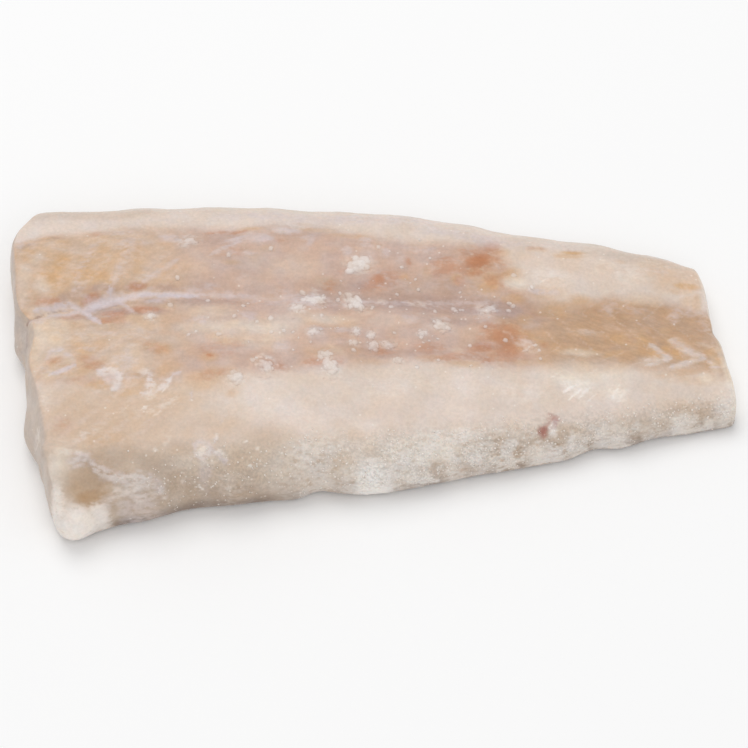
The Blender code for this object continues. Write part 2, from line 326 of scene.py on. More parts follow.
class Tone(Enum):
    """What a patch of flesh shows. The value names the mesh attribute that holds how strongly it shows."""

    MUSCLE = "dark_muscle"
    TAN = "tan_muscle"
    BROWN = "brown_muscle"
    # orange stains, and painted shade beside the membrane's fold on the head side
    ORANGE_AND_SHADE = "orange"
    AMBER = "amber"
    PALE = "pale"
    # darker rose: the flesh's own reddish tone, and painted shade beside the membrane's fold
    ROSE_AND_SHADE = "rose"
    # painted light: light cream where the tail cut, the tail end and patches of the belly side show brightest
    GLOW = "glow"
    MEMBRANE = "membrane"
    # white streaks of ice and membrane, and painted highlights on the flap's tip and the belly side
    WHITE = "white_streaks"
    BLOOD = "blood"
    # the walls' own frosted tan, and painted shade: the belly wall and the back edge's rounding are darker than
    # the top
    WALL = "wall"
    # the brown of thin translucent flesh, and painted shade, in the flap's hollow and dents of the belly wall
    HOLLOW_AND_SHADE = "hollow"
    CUT = "cut"
    SEPTA = "septa"
    FROST = "frost"
    GRAIN = "grain"
    # painted shade: the belly wall darkens towards its foot, where the fillet meets the floor
    FOOT_SHADE = "rim"
    # bare brown flesh between frost on the belly wall, and painted shade along the wall's foot and the back
    # edge
    BROWN_WALL_AND_SHADE = "dim_wall"
    # painted shade: dark lines in creases by the membrane, the septum and the folds
    CREASE = "crease"
    CRUMBS = "crumbs"


@dataclass(frozen=True)
class Stain:
    """A soft oval patch: its middle and size in millimetres, its turn in degrees and its strength."""

    x: float
    y: float
    length: float
    width: float
    turn: float
    strength: float
    edge: Pair = (1.5, 0.35)

    @classmethod
    def of(cls, row: Row) -> "Stain":
        """Reads a row: place, length and width in tenths of a millimetre, turn, and strength in percent."""
        x, y, length, width, turn, strength = row
        return cls(x / 10, y / 10, length / 10, width / 10, turn, strength / 100)

    def cover(self, x: np.ndarray, y: np.ndarray) -> np.ndarray:
        """Works out how strongly the patch covers each place.

        Args:
            x: places along the fillet, in millimetres.
            y: places across it, in millimetres.

        Returns:
            The strength at each place.
        """
        c, s = math.cos(math.radians(self.turn)), math.sin(math.radians(self.turn))
        dx, dy = x - self.x, y - self.y
        away = np.hypot((dx * c + dy * s) / (self.length / 2), (dy * c - dx * s) / (self.width / 2))
        return self.strength * ease(*self.edge, away)


@dataclass(frozen=True)
class Streak:
    """A soft line through points in millimetres, with its width and strength. It thins out at both ends."""

    points: Stations
    width: float
    strength: float
    edge: Pair = (1.35, 0.10)
    tip: float = 0.35
    tip_growth: float = 1.3

    @classmethod
    def of(cls, row: Row) -> "Streak":
        """Reads a row of a table.

        Args:
            row: the width, the strength in percent, then x and y of each point, in tenths of a millimetre.

        Returns:
            The streak.
        """
        width, strength, *places = row
        points = tuple((x / 10, y / 10) for x, y in zip(places[::2], places[1::2]))
        return cls(points, width / 10, strength / 100)

    def cover(self, x: np.ndarray, y: np.ndarray) -> np.ndarray:
        """Works out how strongly the line covers each place.

        Args:
            x: places along the fillet, in millimetres.
            y: places across it, in millimetres.

        Returns:
            The strength at each place.
        """
        cover = np.zeros_like(x)
        last = len(self.points) - 2
        for number, ((ax, ay), (bx, by)) in enumerate(zip(self.points, self.points[1:])):
            run = (bx - ax) ** 2 + (by - ay) ** 2
            t = np.clip(((x - ax) * (bx - ax) + (y - ay) * (by - ay)) / run, 0, 1)
            away = np.hypot(x - ax - t * (bx - ax), y - ay - t * (by - ay))
            thin = np.ones_like(t)
            if number == 0:
                thin = np.minimum(thin, self.tip + t * self.tip_growth)
            if number == last:
                thin = np.minimum(thin, self.tip + (1 - t) * self.tip_growth)
            cover = np.maximum(cover, ease(*self.edge, away / (self.width * thin)))
        return self.strength * cover


@dataclass(frozen=True)
class FleshMarks:
    """Where each tone of the flesh shows, in millimetres on the fillet.

    Each stain and streak is a row of whole numbers, which Stain.of and Streak.of read. Where marks of one
    tone meet, the strongest shows. The septum, the top and foot of the dark muscle and the top of the belly
    wall give y at places along the fillet. Of the pairs, slant, head_end, tail_end, crumbs_at and
    crumbs_beside are a middle and a reach, segment_slants is how far a segment's line runs along for each
    step out, before and past its flexure, and the rest are where a rise starts and where it is full. Each
    warp is a mottle's size and reach, and each cloud is a mottle's size, seed and octaves.
    """

    septum: Stations = (
        (-96.0, 5.0), (-88.4, 8.5), (-84.1, 10.2), (-79.3, 12.0), (-74.4, 13.3), (-66.1, 15.5),
        (-57.6, 16.9), (-33.7, 16.6), (-14.0, 15.3), (3.2, 14.6), (18.7, 14.8), (39.7, 14.0), (60.8, 13.2),
        (87.0, 9.5), (96.0, 7.5),
    )
    muscle_top: Stations = (
        (-96.0, 30.0), (-87.8, 34.0), (-77.5, 35.6), (-66.0, 37.4), (-38.5, 37.6), (-16.7, 37.3),
        (-7.6, 36.6), (5.4, 34.6), (25.3, 33.8), (33.6, 33.5), (39.0, 24.0), (44.0, 17.5), (66.3, 18.4),
        (76.9, 17.7), (87.2, 14.5), (96.0, 12.0),
    )
    muscle_foot: Stations = (
        (-96.0, -8.0), (-84.0, -12.0), (-68.7, -12.5), (-50.8, -12.0), (-43.2, -10.3), (-30.4, -9.2),
        (-9.9, -7.4), (2.9, -4.9), (15.9, -4.4), (28.8, -4.8), (49.5, -5.0), (70.4, -3.9), (86.0, -4.8),
        (96.0, -6.0),
    )
    wall_top: Stations = (
        (-90.0, -33.0), (-77.8, -32.3), (-55.2, -31.7), (-42.7, -29.6), (-17.4, -26.8), (8.0, -25.4),
        (33.6, -22.0), (59.5, -17.8), (85.7, -12.8), (96.0, -11.0),
    )
    stains: Marks = (
        # orange stains; the ones near x -84 to -59 mm just below the membrane are painted shade beside its fold
        (Tone.ORANGE_AND_SHADE, (
            (299, 6, 63, 37, 0, 90), (27, 194, 47, 25, 0, 60), (281, 245, 63, 31, 10, 70),
            (-402, -97, 115, 31, 8, 40), (27, 213, 44, 46, 0, 85), (-57, 244, 26, 25, 0, 50),
            (-647, 79, 37, 25, 0, 50), (240, 214, 37, 37, 0, 60), (456, 19, 37, 25, -15, 50),
            (682, 45, 37, 28, -10, 40), (-276, 31, 47, 37, 0, 35), (-670, 103, 68, 22, -2, 80),
            (-727, 151, 57, 28, 20, 80), (-838, 135, 78, 25, 8, 70), (-784, 93, 89, 25, 4, 50),
            (35, -7, 94, 40, 6, 60), (289, 3, 68, 37, 10, 60), (205, -34, 141, 25, 4, 50),
            (-133, -55, 68, 31, 0, 60), (-249, -62, 89, 31, -20, 60), (-81, -57, 37, 25, 0, 50),
            (278, 244, 73, 31, 20, 60), (255, 309, 42, 31, 0, 40), (304, -35, 42, 25, 0, 60),
            (-287, 21, 42, 37, 0, 40), (404, 40, 47, 31, -20, 50), (-393, -32, 104, 49, 0, 30),
            (-345, -4, 57, 31, 0, 60), (399, 22, 78, 49, 0, 80), (273, -24, 157, 43, 4, 50),
            (340, 288, 52, 92, 20, 30), (185, -8, 183, 37, 4, 12), (-608, 186, 52, 25, 6, 80),
            (-589, 114, 89, 25, -4, 80), (-674, 85, 85, 34, 8, 75), (-396, 365, 85, 15, 5, 50),
            (-725, 364, 46, 23, 0, 35), (-810, -53, 46, 28, 0, 45), (-713, -64, 85, 46, -20, 50),
            (-733, -116, 78, 31, 10, 35), (-551, -15, 78, 46, -10, 40), (-410, -41, 23, 14, -25, 100),
            (-384, -5, 117, 46, 10, 30), (-333, 14, 65, 38, 0, 30), (-775, -255, 72, 62, 0, 30),
            (-349, 364, 59, 15, 8, 60), (-235, 338, 39, 15, 0, 35), (-353, 291, 33, 23, 0, 40),
            (22, 213, 84, 40, 32, 60), (35, 210, 115, 68, 25, 50), (-70, 241, 42, 31, 0, 35),
            (-102, 194, 39, 46, 0, 45), (104, 276, 22, 34, 0, 60), (195, 270, 72, 46, 15, 50),
            (289, 284, 99, 58, 40, 100), (257, 255, 68, 37, 25, 60), (314, 312, 52, 49, 20, 60),
            (204, 255, 99, 62, 12, 55), (328, 334, 63, 49, 25, 60), (295, 288, 124, 92, 15, 55),
            (-352, 2, 52, 38, 0, 40), (-293, -19, 78, 38, 10, 12), (-204, 16, 78, 31, 0, 15),
            (4, 19, 104, 46, 0, 22), (159, -1, 85, 46, 0, 45), (224, -23, 104, 38, 0, 30),
            (312, 28, 72, 85, 0, 55), (360, 25, 120, 125, -20, 80), (318, 63, 64, 50, 0, 60),
            (336, 221, 85, 58, 0, 45), (445, 332, 52, 18, 0, 40), (394, -13, 85, 42, 0, 40),
        )),
        (Tone.AMBER, (
            (685, 45, 104, 43, -5, 80), (803, 42, 42, 25, 0, 80), (685, 45, 115, 43, -5, 50),
            (748, 2, 57, 25, 10, 60), (246, -52, 89, 25, 0, 50), (-724, 216, 73, 55, 0, 80),
            (-668, -304, 131, 68, 0, 30), (530, 313, 94, 25, 4, 60), (-356, 5, 68, 31, 0, 50),
            (-274, 18, 63, 31, 0, 40), (377, 167, 68, 28, 0, 60), (-825, 205, 47, 49, 40, 75),
            (448, 329, 63, 22, 0, 50), (-402, -100, 157, 43, 8, 50), (482, 150, 94, 31, 0, 30),
            (42, -195, 131, 74, 0, 16), (-32, -269, 42, 37, 0, 30), (706, 6, 104, 25, 10, 30),
            (367, -267, 68, 80, 0, 35), (470, -245, 104, 49, 8, 35), (-717, 280, 52, 43, 0, 50),
            (-609, 233, 37, 31, 0, 50), (-572, -124, 52, 25, 0, 40), (-408, -47, 52, 28, 0, 50),
            (-395, 25, 37, 25, 0, 35), (-320, -336, 63, 31, 0, 30), (-481, -318, 42, 25, 0, 30),
            (492, 226, 42, 25, 0, 40), (360, 229, 37, 31, 0, 40), (503, 155, 131, 31, -2, 45),
            (412, 105, 47, 43, 0, 50), (777, 83, 31, 37, -40, 35), (848, 183, 52, 37, 0, 40),
            (4, -47, 94, 25, 0, 30), (159, -36, 78, 25, 0, 30), (-267, 311, 42, 25, 0, 40),
            (93, 227, 26, 25, 0, 40), (575, 0, 89, 22, 0, 40), (831, -158, 131, 25, 4, 30),
            (-103, -335, 31, 43, 0, 30), (-6, -319, 47, 25, 0, 30), (285, -273, 63, 25, 8, 35),
            (775, 21, 26, 25, -40, 70), (801, 9, 31, 28, -40, 70), (812, -9, 23, 15, 0, 60),
            (895, 14, 37, 28, -30, 60), (812, -55, 120, 28, 6, 45), (-718, 212, 104, 31, 60, 60),
            (-823, 164, 94, 31, 55, 70), (-808, 325, 42, 37, 0, 50), (-837, 224, 57, 31, 20, 40),
            (-699, 174, 26, 31, 0, 50), (-623, 250, 63, 43, 40, 35), (-613, 192, 31, 43, 0, 40),
            (-899, 70, 31, 49, 0, 50), (-695, -129, 78, 25, 0, 60), (-597, -146, 131, 31, 15, 50),
            (-508, -127, 89, 25, 0, 40), (-756, -90, 78, 25, 5, 50), (-772, 4, 47, 43, 60, 40),
            (-365, 258, 52, 18, 0, 40), (283, 248, 57, 31, 20, 60), (235, 220, 37, 31, 0, 60),
            (154, 240, 31, 49, 0, 40), (360, 322, 47, 31, 0, 45), (368, 243, 78, 43, 30, 60),
            (669, 301, 42, 18, -10, 40), (487, 152, 42, 25, 0, 50), (551, 170, 63, 37, 0, 50),
            (441, 26, 68, 31, -15, 80), (418, -33, 104, 25, 0, 40), (635, -2, 63, 25, 15, 70),
            (576, 6, 52, 18, 0, 50), (823, 210, 78, 25, -5, 50), (864, 177, 31, 55, 0, 60),
            (880, 19, 52, 22, -30, 60), (915, -8, 31, 25, 0, 50), (794, -58, 104, 25, 12, 50),
            (825, -159, 89, 25, 0, 40), (508, 289, 392, 80, -8, 22), (805, 259, 209, 105, -12, 45),
            (-807, 239, 57, 123, 15, 50), (-696, 236, 68, 135, 10, 60), (-401, -119, 172, 68, 8, 55),
            (394, 33, 167, 74, 0, 50), (304, 235, 115, 154, 0, 35), (472, 186, 104, 55, 0, 40),
            (849, -150, 131, 43, -5, 50), (491, -234, 183, 43, 8, 35), (-740, 259, 63, 62, 0, 60),
            (-834, 252, 52, 92, 10, 50), (604, 51, 235, 68, -6, 10), (482, 135, 94, 43, 0, 40),
            (-561, -91, 157, 43, 15, 30), (-87, -20, 209, 43, 0, 30), (-506, -178, 235, 74, 14, 20),
            (-901, 289, 46, 46, 30, 55), (-813, 254, 55, 77, 10, 90), (-843, 221, 46, 23, 0, 75),
            (-752, 221, 52, 77, -10, 80), (-641, 253, 91, 115, 0, 28), (-879, 335, 124, 20, 14, 45),
            (-509, 226, 131, 62, 0, 20), (-806, 28, 39, 62, 60, 45), (-739, -14, 52, 46, 0, 40),
            (-538, -14, 78, 38, 0, 40), (-935, 290, 26, 46, 0, 50), (-316, 375, 68, 15, 2, 50),
            (-141, 378, 89, 18, -3, 40), (-50, 355, 104, 18, -6, 45), (323, 227, 72, 69, 0, 60),
            (326, 176, 52, 38, 0, 40), (-354, -147, 39, 31, 0, 40), (-87, 67, 157, 31, 0, 30),
            (314, 198, 64, 50, 0, 70), (365, 232, 64, 42, 0, 40), (544, 327, 68, 15, 4, 90),
            (840, 225, 85, 30, -5, 85), (850, -73, 142, 30, 3, 45), (800, 37, 85, 33, -20, 35),
            (864, 30, 78, 33, -15, 40), (465, 11, 85, 50, 0, 30), (678, 149, 57, 50, 0, 10),
            (564, 159, 92, 42, 0, 20),
        )),
        # the flesh's reddish tone, and painted shade beside the membrane's fold on the head side
        (Tone.ROSE_AND_SHADE, (
            (-615, 161, 47, 18, 0, 60), (-618, 182, 57, 28, 5, 70), (225, 85, 209, 31, -2, 60),
            (-576, -94, 57, 31, 0, 50), (-724, 91, 63, 22, -15, 70), (-812, 62, 42, 25, 0, 50),
            (-670, 103, 78, 25, -2, 80), (-534, 183, 78, 25, -3, 60), (-724, 151, 63, 28, 20, 60),
            (-784, 93, 94, 25, 4, 80), (-203, 329, 47, 31, 0, 40), (-670, 110, 104, 22, 6, 90),
            (-833, 141, 78, 43, 10, 50), (-703, 130, 157, 25, 5, 60), (-572, 137, 131, 25, 0, 50),
            (135, 146, 522, 74, -3, 85), (344, 133, 235, 68, -6, 80), (-709, 178, 120, 25, 2, 90),
            (-628, 110, 146, 25, 6, 100), (-777, 154, 104, 31, 14, 50), (-575, 107, 115, 25, -2, 90),
            (-420, 142, 157, 37, 0, 60), (-183, 377, 209, 55, -2, 40), (-49, 191, 235, 49, 0, 70),
            (-313, 262, 157, 111, 0, 30), (30, -19, 313, 37, 0, 50), (-101, 135, 157, 31, 0, 40),
            (-394, 337, 157, 43, 4, 30), (214, 203, 235, 62, -6, 40),
        )),
        # painted light: lighter cream patches that stand for the brightest lit parts
        (Tone.GLOW, (
            (386, 217, 73, 43, -10, 55), (549, -2, 104, 25, 0, 40), (-307, 26, 235, 86, 0, 35),
            (-147, 87, 183, 43, 0, 30), (573, -59, 235, 80, 0, 35), (525, -92, 94, 49, -10, 50),
            (628, -112, 63, 62, -30, 25), (716, 179, 131, 31, -4, 25), (144, -285, 183, 62, 8, 30),
            (-777, -359, 47, 92, 0, 30), (-832, 45, 104, 154, 0, 35), (902, -34, 31, 80, 10, 30),
            (937, -68, 31, 277, 10, 50), (874, -66, 42, 37, 0, 40), (-228, 369, 52, 18, 2, 30),
        )),
        (Tone.MEMBRANE, (
            (-732, -350, 63, 37, 10, 60), (-528, 348, 78, 31, 0, 50), (-584, 405, 392, 37, 0, 20),
            (872, 124, 37, 92, 15, 30), (-855, 69, 37, 22, 0, 60), (-740, 150, 26, 31, 30, 50),
            (-791, 119, 31, 18, 0, 50), (-610, 180, 57, 22, 0, 15), (-464, 179, 73, 22, 0, 50),
            (-890, 322, 26, 31, 0, 40), (-831, -85, 31, 31, 0, 40), (-714, -18, 37, 25, 0, 40),
            (-665, 33, 37, 25, 0, 40), (190, 391, 235, 25, -10, 35), (-55, 301, 31, 43, 40, 60),
            (-7, 341, 42, 25, 0, 60), (-156, 339, 26, 43, 0, 50), (-294, 355, 78, 25, 0, 50),
            (43, 299, 31, 37, 0, 50), (136, 324, 47, 31, 0, 35), (-206, 158, 157, 22, 2, 45),
            (-138, 133, 47, 37, 20, 60), (-57, 147, 26, 37, 0, 60), (-137, 55, 68, 18, 0, 50),
            (-69, 49, 57, 22, 0, 50), (202, 91, 31, 31, 0, 50), (296, 94, 47, 31, 0, 50),
            (462, 192, 89, 22, 0, 60), (568, 69, 104, 25, 0, 25), (630, 147, 31, 37, 0, 45),
            (815, 145, 31, 31, 0, 50), (-582, -432, 115, 43, 8, 45), (773, 269, 104, 25, -14, 30),
            (-223, 370, 89, 25, 2, 80), (-559, 140, 68, 18, 0, 60), (-676, 132, 47, 18, 10, 60),
            (-855, 76, 42, 18, 0, 60), (-924, 322, 26, 37, 0, 40), (-648, 364, 131, 18, 0, 40),
            (-342, 343, 99, 18, 18, 70), (-240, 172, 78, 25, 0, 40), (-179, 108, 42, 25, 0, 40),
            (131, 320, 104, 25, -2, 40), (108, 87, 52, 31, 0, 50), (622, 144, 37, 31, 0, 25),
            (698, 148, 78, 28, 5, 30), (803, 127, 37, 31, -60, 50), (847, 145, 31, 31, 0, 25),
            (-444, 81, 47, 31, 0, 60), (-314, 93, 68, 31, 0, 50), (-748, 35, 42, 37, 0, 40),
            (-612, -103, 37, 31, 0, 50), (478, -207, 21, 18, 40, 70), (-104, 423, 627, 49, -1, 50),
            (270, 368, 313, 46, -9, 50), (-413, -368, 42, 49, 0, 40), (-632, 329, 98, 46, 0, 30),
            (-660, -98, 65, 54, 0, 75), (-627, -54, 59, 69, 40, 45), (-360, 291, 39, 20, 0, 50),
            (-416, 189, 46, 23, 0, 45), (-605, 25, 91, 46, 20, 30), (-288, 343, 98, 34, 3, 65),
            (-317, 291, 46, 17, 0, 60), (-166, 349, 52, 17, 0, 50), (-7, 323, 52, 17, 0, 50),
            (-199, 146, 274, 31, 0, 40), (56, 137, 274, 23, 0, 22), (200, 141, 209, 38, 0, 25),
            (292, 162, 117, 77, 0, 20), (-325, 208, 52, 54, 0, 35), (89, 285, 39, 38, 0, 35),
            (-145, 37, 59, 31, 0, 30), (-223, 0, 46, 38, 0, 40), (227, 210, 131, 46, 0, 25),
            (305, 117, 71, 83, 0, 40), (650, 161, 42, 25, 0, 35), (310, 14, 64, 25, 0, 30),
        )),
        (Tone.PALE, (
            (-509, 14, 131, 43, 0, 30), (-303, 269, 63, 62, 0, 30), (835, -19, 131, 62, 0, 25),
            (730, -24, 78, 31, 0, 40), (560, 65, 68, 25, 0, 20), (274, 295, 31, 22, 30, 25),
            (-853, 186, 52, 43, 0, 60), (-877, 272, 47, 37, 50, 55), (-908, 171, 31, 74, 0, 50),
            (-857, -41, 42, 123, 0, 60), (-84, -16, 68, 18, -35, 50), (232, -9, 37, 22, 0, 50),
            (-817, -99, 47, 37, 20, 50), (-763, -57, 37, 31, 0, 40), (-689, 69, 31, 31, 0, 40),
            (-48, 64, 52, 25, 0, 30), (-409, 106, 131, 62, 0, 50), (-735, 32, 78, 49, 0, 40),
            (-619, -49, 104, 92, 0, 40), (-115, 204, 63, 37, 0, 30), (-399, 61, 222, 46, 3, 70),
            (-905, 213, 39, 77, 0, 60), (-874, 284, 39, 31, 0, 35), (-618, 35, 117, 46, 20, 40),
            (-796, -29, 65, 38, 0, 30), (-773, 11, 104, 31, 20, 30), (-276, 63, 215, 46, -2, 65),
            (-81, 85, 131, 31, 0, 30), (-201, 247, 170, 69, 0, 20), (56, 82, 144, 31, 0, 20),
            (-326, 259, 78, 46, 0, 20),
        )),
        # white streaks, and painted highlights: the bright flap tip near x -73 mm and the belly side's glints
        # near x 50 to 65 mm
        (Tone.WHITE, (
            (895, 108, 21, 92, 15, 20), (907, 24, 21, 62, 15, 20), (476, -132, 167, 49, 0, 12),
            (817, -69, 193, 74, -8, 13), (-609, -212, 141, 43, 0, 12), (-727, -351, 52, 31, 10, 30),
            (-197, 391, 78, 28, 0, 30), (-50, 438, 261, 25, -1, 18), (190, 395, 261, 28, -10, 18),
            (762, 299, 157, 25, -14, 22), (591, 340, 78, 25, -8, 20), (560, 65, 68, 28, 0, 8),
            (132, 142, 94, 28, 0, 25), (30, 146, 37, 28, 0, 30), (744, -20, 68, 31, 10, 30),
            (849, -137, 89, 25, -4, 30), (575, -121, 68, 68, 0, 20), (146, -251, 94, 55, 8, 22),
            (-555, -165, 26, 31, 0, 40), (-345, -379, 94, 49, 8, 25), (-672, -85, 52, 34, 20, 45),
            (-571, -91, 26, 49, 70, 45), (537, -106, 94, 55, 25, 40), (638, -123, 42, 62, 60, 40),
            (475, -230, 31, 25, 20, 30), (-847, 175, 30, 26, 0, 28), (-711, -283, 78, 38, 10, 25),
            (-554, -127, 22, 48, 10, 50), (-741, 24, 52, 31, 0, 22), (-824, -179, 46, 69, 0, 25),
            (-420, -317, 59, 62, 0, 19), (-585, -399, 111, 46, 0, 20), (-727, -494, 146, 80, 8, 100),
            (-682, -461, 63, 43, 15, 80), (-784, -466, 42, 111, 0, 90), (-691, -475, 78, 62, 0, 43),
            (-843, -263, 20, 46, 0, 43), (-652, -428, 59, 46, 0, 19), (-577, -427, 104, 69, 0, 15),
            (55, -153, 65, 15, 0, 22), (-124, -164, 52, 31, 0, 19), (-277, -189, 170, 69, 0, 19),
            (87, -90, 131, 46, 0, 15), (93, -123, 326, 54, 0, 19), (545, -111, 106, 75, 0, 46),
            (651, -117, 42, 67, 0, 43), (736, -92, 42, 67, 0, 19), (473, 243, 120, 75, 0, 28),
            (697, 257, 142, 67, 0, 25), (404, -135, 212, 75, 0, 22), (612, 284, 142, 67, 0, 19),
        )),
        # thin flesh's brown and painted shade in the flap's hollow and the belly wall's dents
        (Tone.HOLLOW_AND_SHADE, (
            (458, -261, 104, 55, 8, 26), (-108, -339, 120, 49, 5, 28), (-317, -338, 115, 68, 0, 22),
            (-466, -323, 141, 49, 0, 16), (280, -289, 115, 55, 5, 14), (375, -275, 131, 62, 8, 16),
            (-707, -408, 141, 123, 10, 70), (-701, -432, 104, 62, 8, 95),
        )),
        (Tone.FROST, (
            (377, -243, 157, 28, 4, 35), (473, -224, 31, 28, 0, 50), (24, -357, 78, 31, 0, 100),
            (14, -359, 120, 80, 0, 95), (85, -320, 78, 43, 6, 70), (222, -319, 68, 25, 6, 60),
            (738, -194, 94, 22, 8, 45), (-138, -332, 157, 123, 0, 50), (146, -297, 167, 74, 8, 50),
            (622, -218, 115, 62, 10, 62), (540, -244, 94, 43, 10, 50), (817, -177, 110, 49, 8, 62),
            (-47, -356, 78, 62, 0, 50), (-206, -359, 78, 54, 0, 30), (220, -259, 157, 46, 8, 50),
            (93, -338, 131, 62, 5, 45), (278, -285, 131, 62, 5, 50), (644, -219, 127, 50, 8, 40),
            (833, -174, 99, 42, 8, 40), (462, -267, 142, 42, 8, 70), (354, -261, 142, 75, 8, 15),
            (920, -150, 64, 67, 0, 50), (-575, -399, 78, 38, 0, 15), (-421, -329, 68, 43, 0, 25),
            (884, -163, 42, 18, 0, 60),
        )),
        (Tone.BLOOD, (
            (447, -229, 31, 25, 60, 90), (454, -222, 18, 18, 0, 60), (465, -194, 21, 22, 30, 50),
            (480, -202, 26, 22, -40, 55),
        )),
        (Tone.TAN, (
            (-32, -269, 52, 43, 0, 30), (605, -196, 42, 25, 0, 40), (-588, -355, 261, 111, -5, 70),
            (-663, -236, 444, 254, 0, 90), (-427, -276, 326, 154, 0, 60), (-520, -345, 418, 92, 0, 60),
            (-584, -146, 196, 69, 0, 50), (-287, -288, 196, 92, 0, 55), (-142, -300, 170, 69, 0, 35),
        )),
        (Tone.BROWN, (
            (413, 47, 57, 37, 0, 80), (484, 138, 94, 43, 0, 85), (369, 87, 84, 49, 0, 70),
            (407, 53, 63, 37, 0, 60), (561, 159, 68, 37, 0, 50), (300, 37, 136, 135, 0, 30),
            (482, 150, 115, 37, 0, 50), (357, 19, 157, 62, -6, 40), (491, -234, 157, 43, 8, 35),
            (336, -283, 157, 37, 10, 30), (593, 161, 184, 42, 0, 35), (194, 199, 222, 54, 0, 40),
            (56, 174, 131, 31, 0, 30), (-102, 205, 104, 38, 0, 25), (-545, 126, 131, 31, 0, 25),
            (-878, 140, 78, 38, 0, 35), (-769, 166, 157, 23, 5, 30), (225, 92, 196, 38, 0, 30),
        )),
        # bare brown flesh between frost, and painted shade along the belly wall's foot and the back edge's
        # rounding
        (Tone.BROWN_WALL_AND_SHADE, (
            (-615, -386, 57, 25, 0, 100), (-671, -414, 42, 37, 0, 60), (-57, -361, 68, 25, 3, 80),
            (362, -281, 115, 55, 8, 70), (476, -257, 84, 37, 8, 100), (-599, -422, 68, 37, 10, 80),
            (-562, -423, 42, 31, 10, 90), (-625, -380, 94, 31, 0, 80), (-408, -329, 63, 37, 0, 50),
            (-325, -334, 84, 49, 0, 35), (-814, -319, 57, 105, 0, 30), (374, -257, 63, 49, 8, 30),
            (337, -289, 235, 80, 8, 35), (468, -254, 120, 49, 8, 80), (-578, -438, 131, 43, 8, 80),
            (-516, -420, 78, 31, 8, 80), (-625, -395, 89, 31, 0, 50), (-378, -397, 183, 31, 3, 100),
            (491, -241, 157, 49, 8, 50), (-137, -360, 78, 25, 0, 80), (-302, -391, 183, 31, 3, 100),
            (673, -199, 209, 37, 8, 55), (849, -150, 157, 37, 5, 55), (336, -279, 157, 43, 10, 35),
            (221, -306, 131, 43, 6, 35), (-426, -312, 313, 49, 0, 30), (-429, -398, 209, 31, 3, 80),
            (-642, -427, 78, 43, 0, 35), (-596, -355, 261, 86, -6, 85), (-662, -434, 110, 49, 0, 70),
            (-702, -326, 157, 37, 0, 30), (-327, -394, 444, 37, 3, 90), (-175, -370, 157, 31, 0, 70),
            (-720, 437, 418, 37, 2, 30), (297, 365, 366, 37, -9, 12), (670, 325, 339, 43, -10, 30),
            (-489, -388, 339, 69, 0, 80), (-364, -388, 261, 92, 0, 70), (-249, -309, 215, 115, 0, 25),
            (-142, -334, 170, 85, 0, 50), (157, -295, 91, 46, 0, 35), (253, -303, 104, 46, 0, 30),
        )),
    )
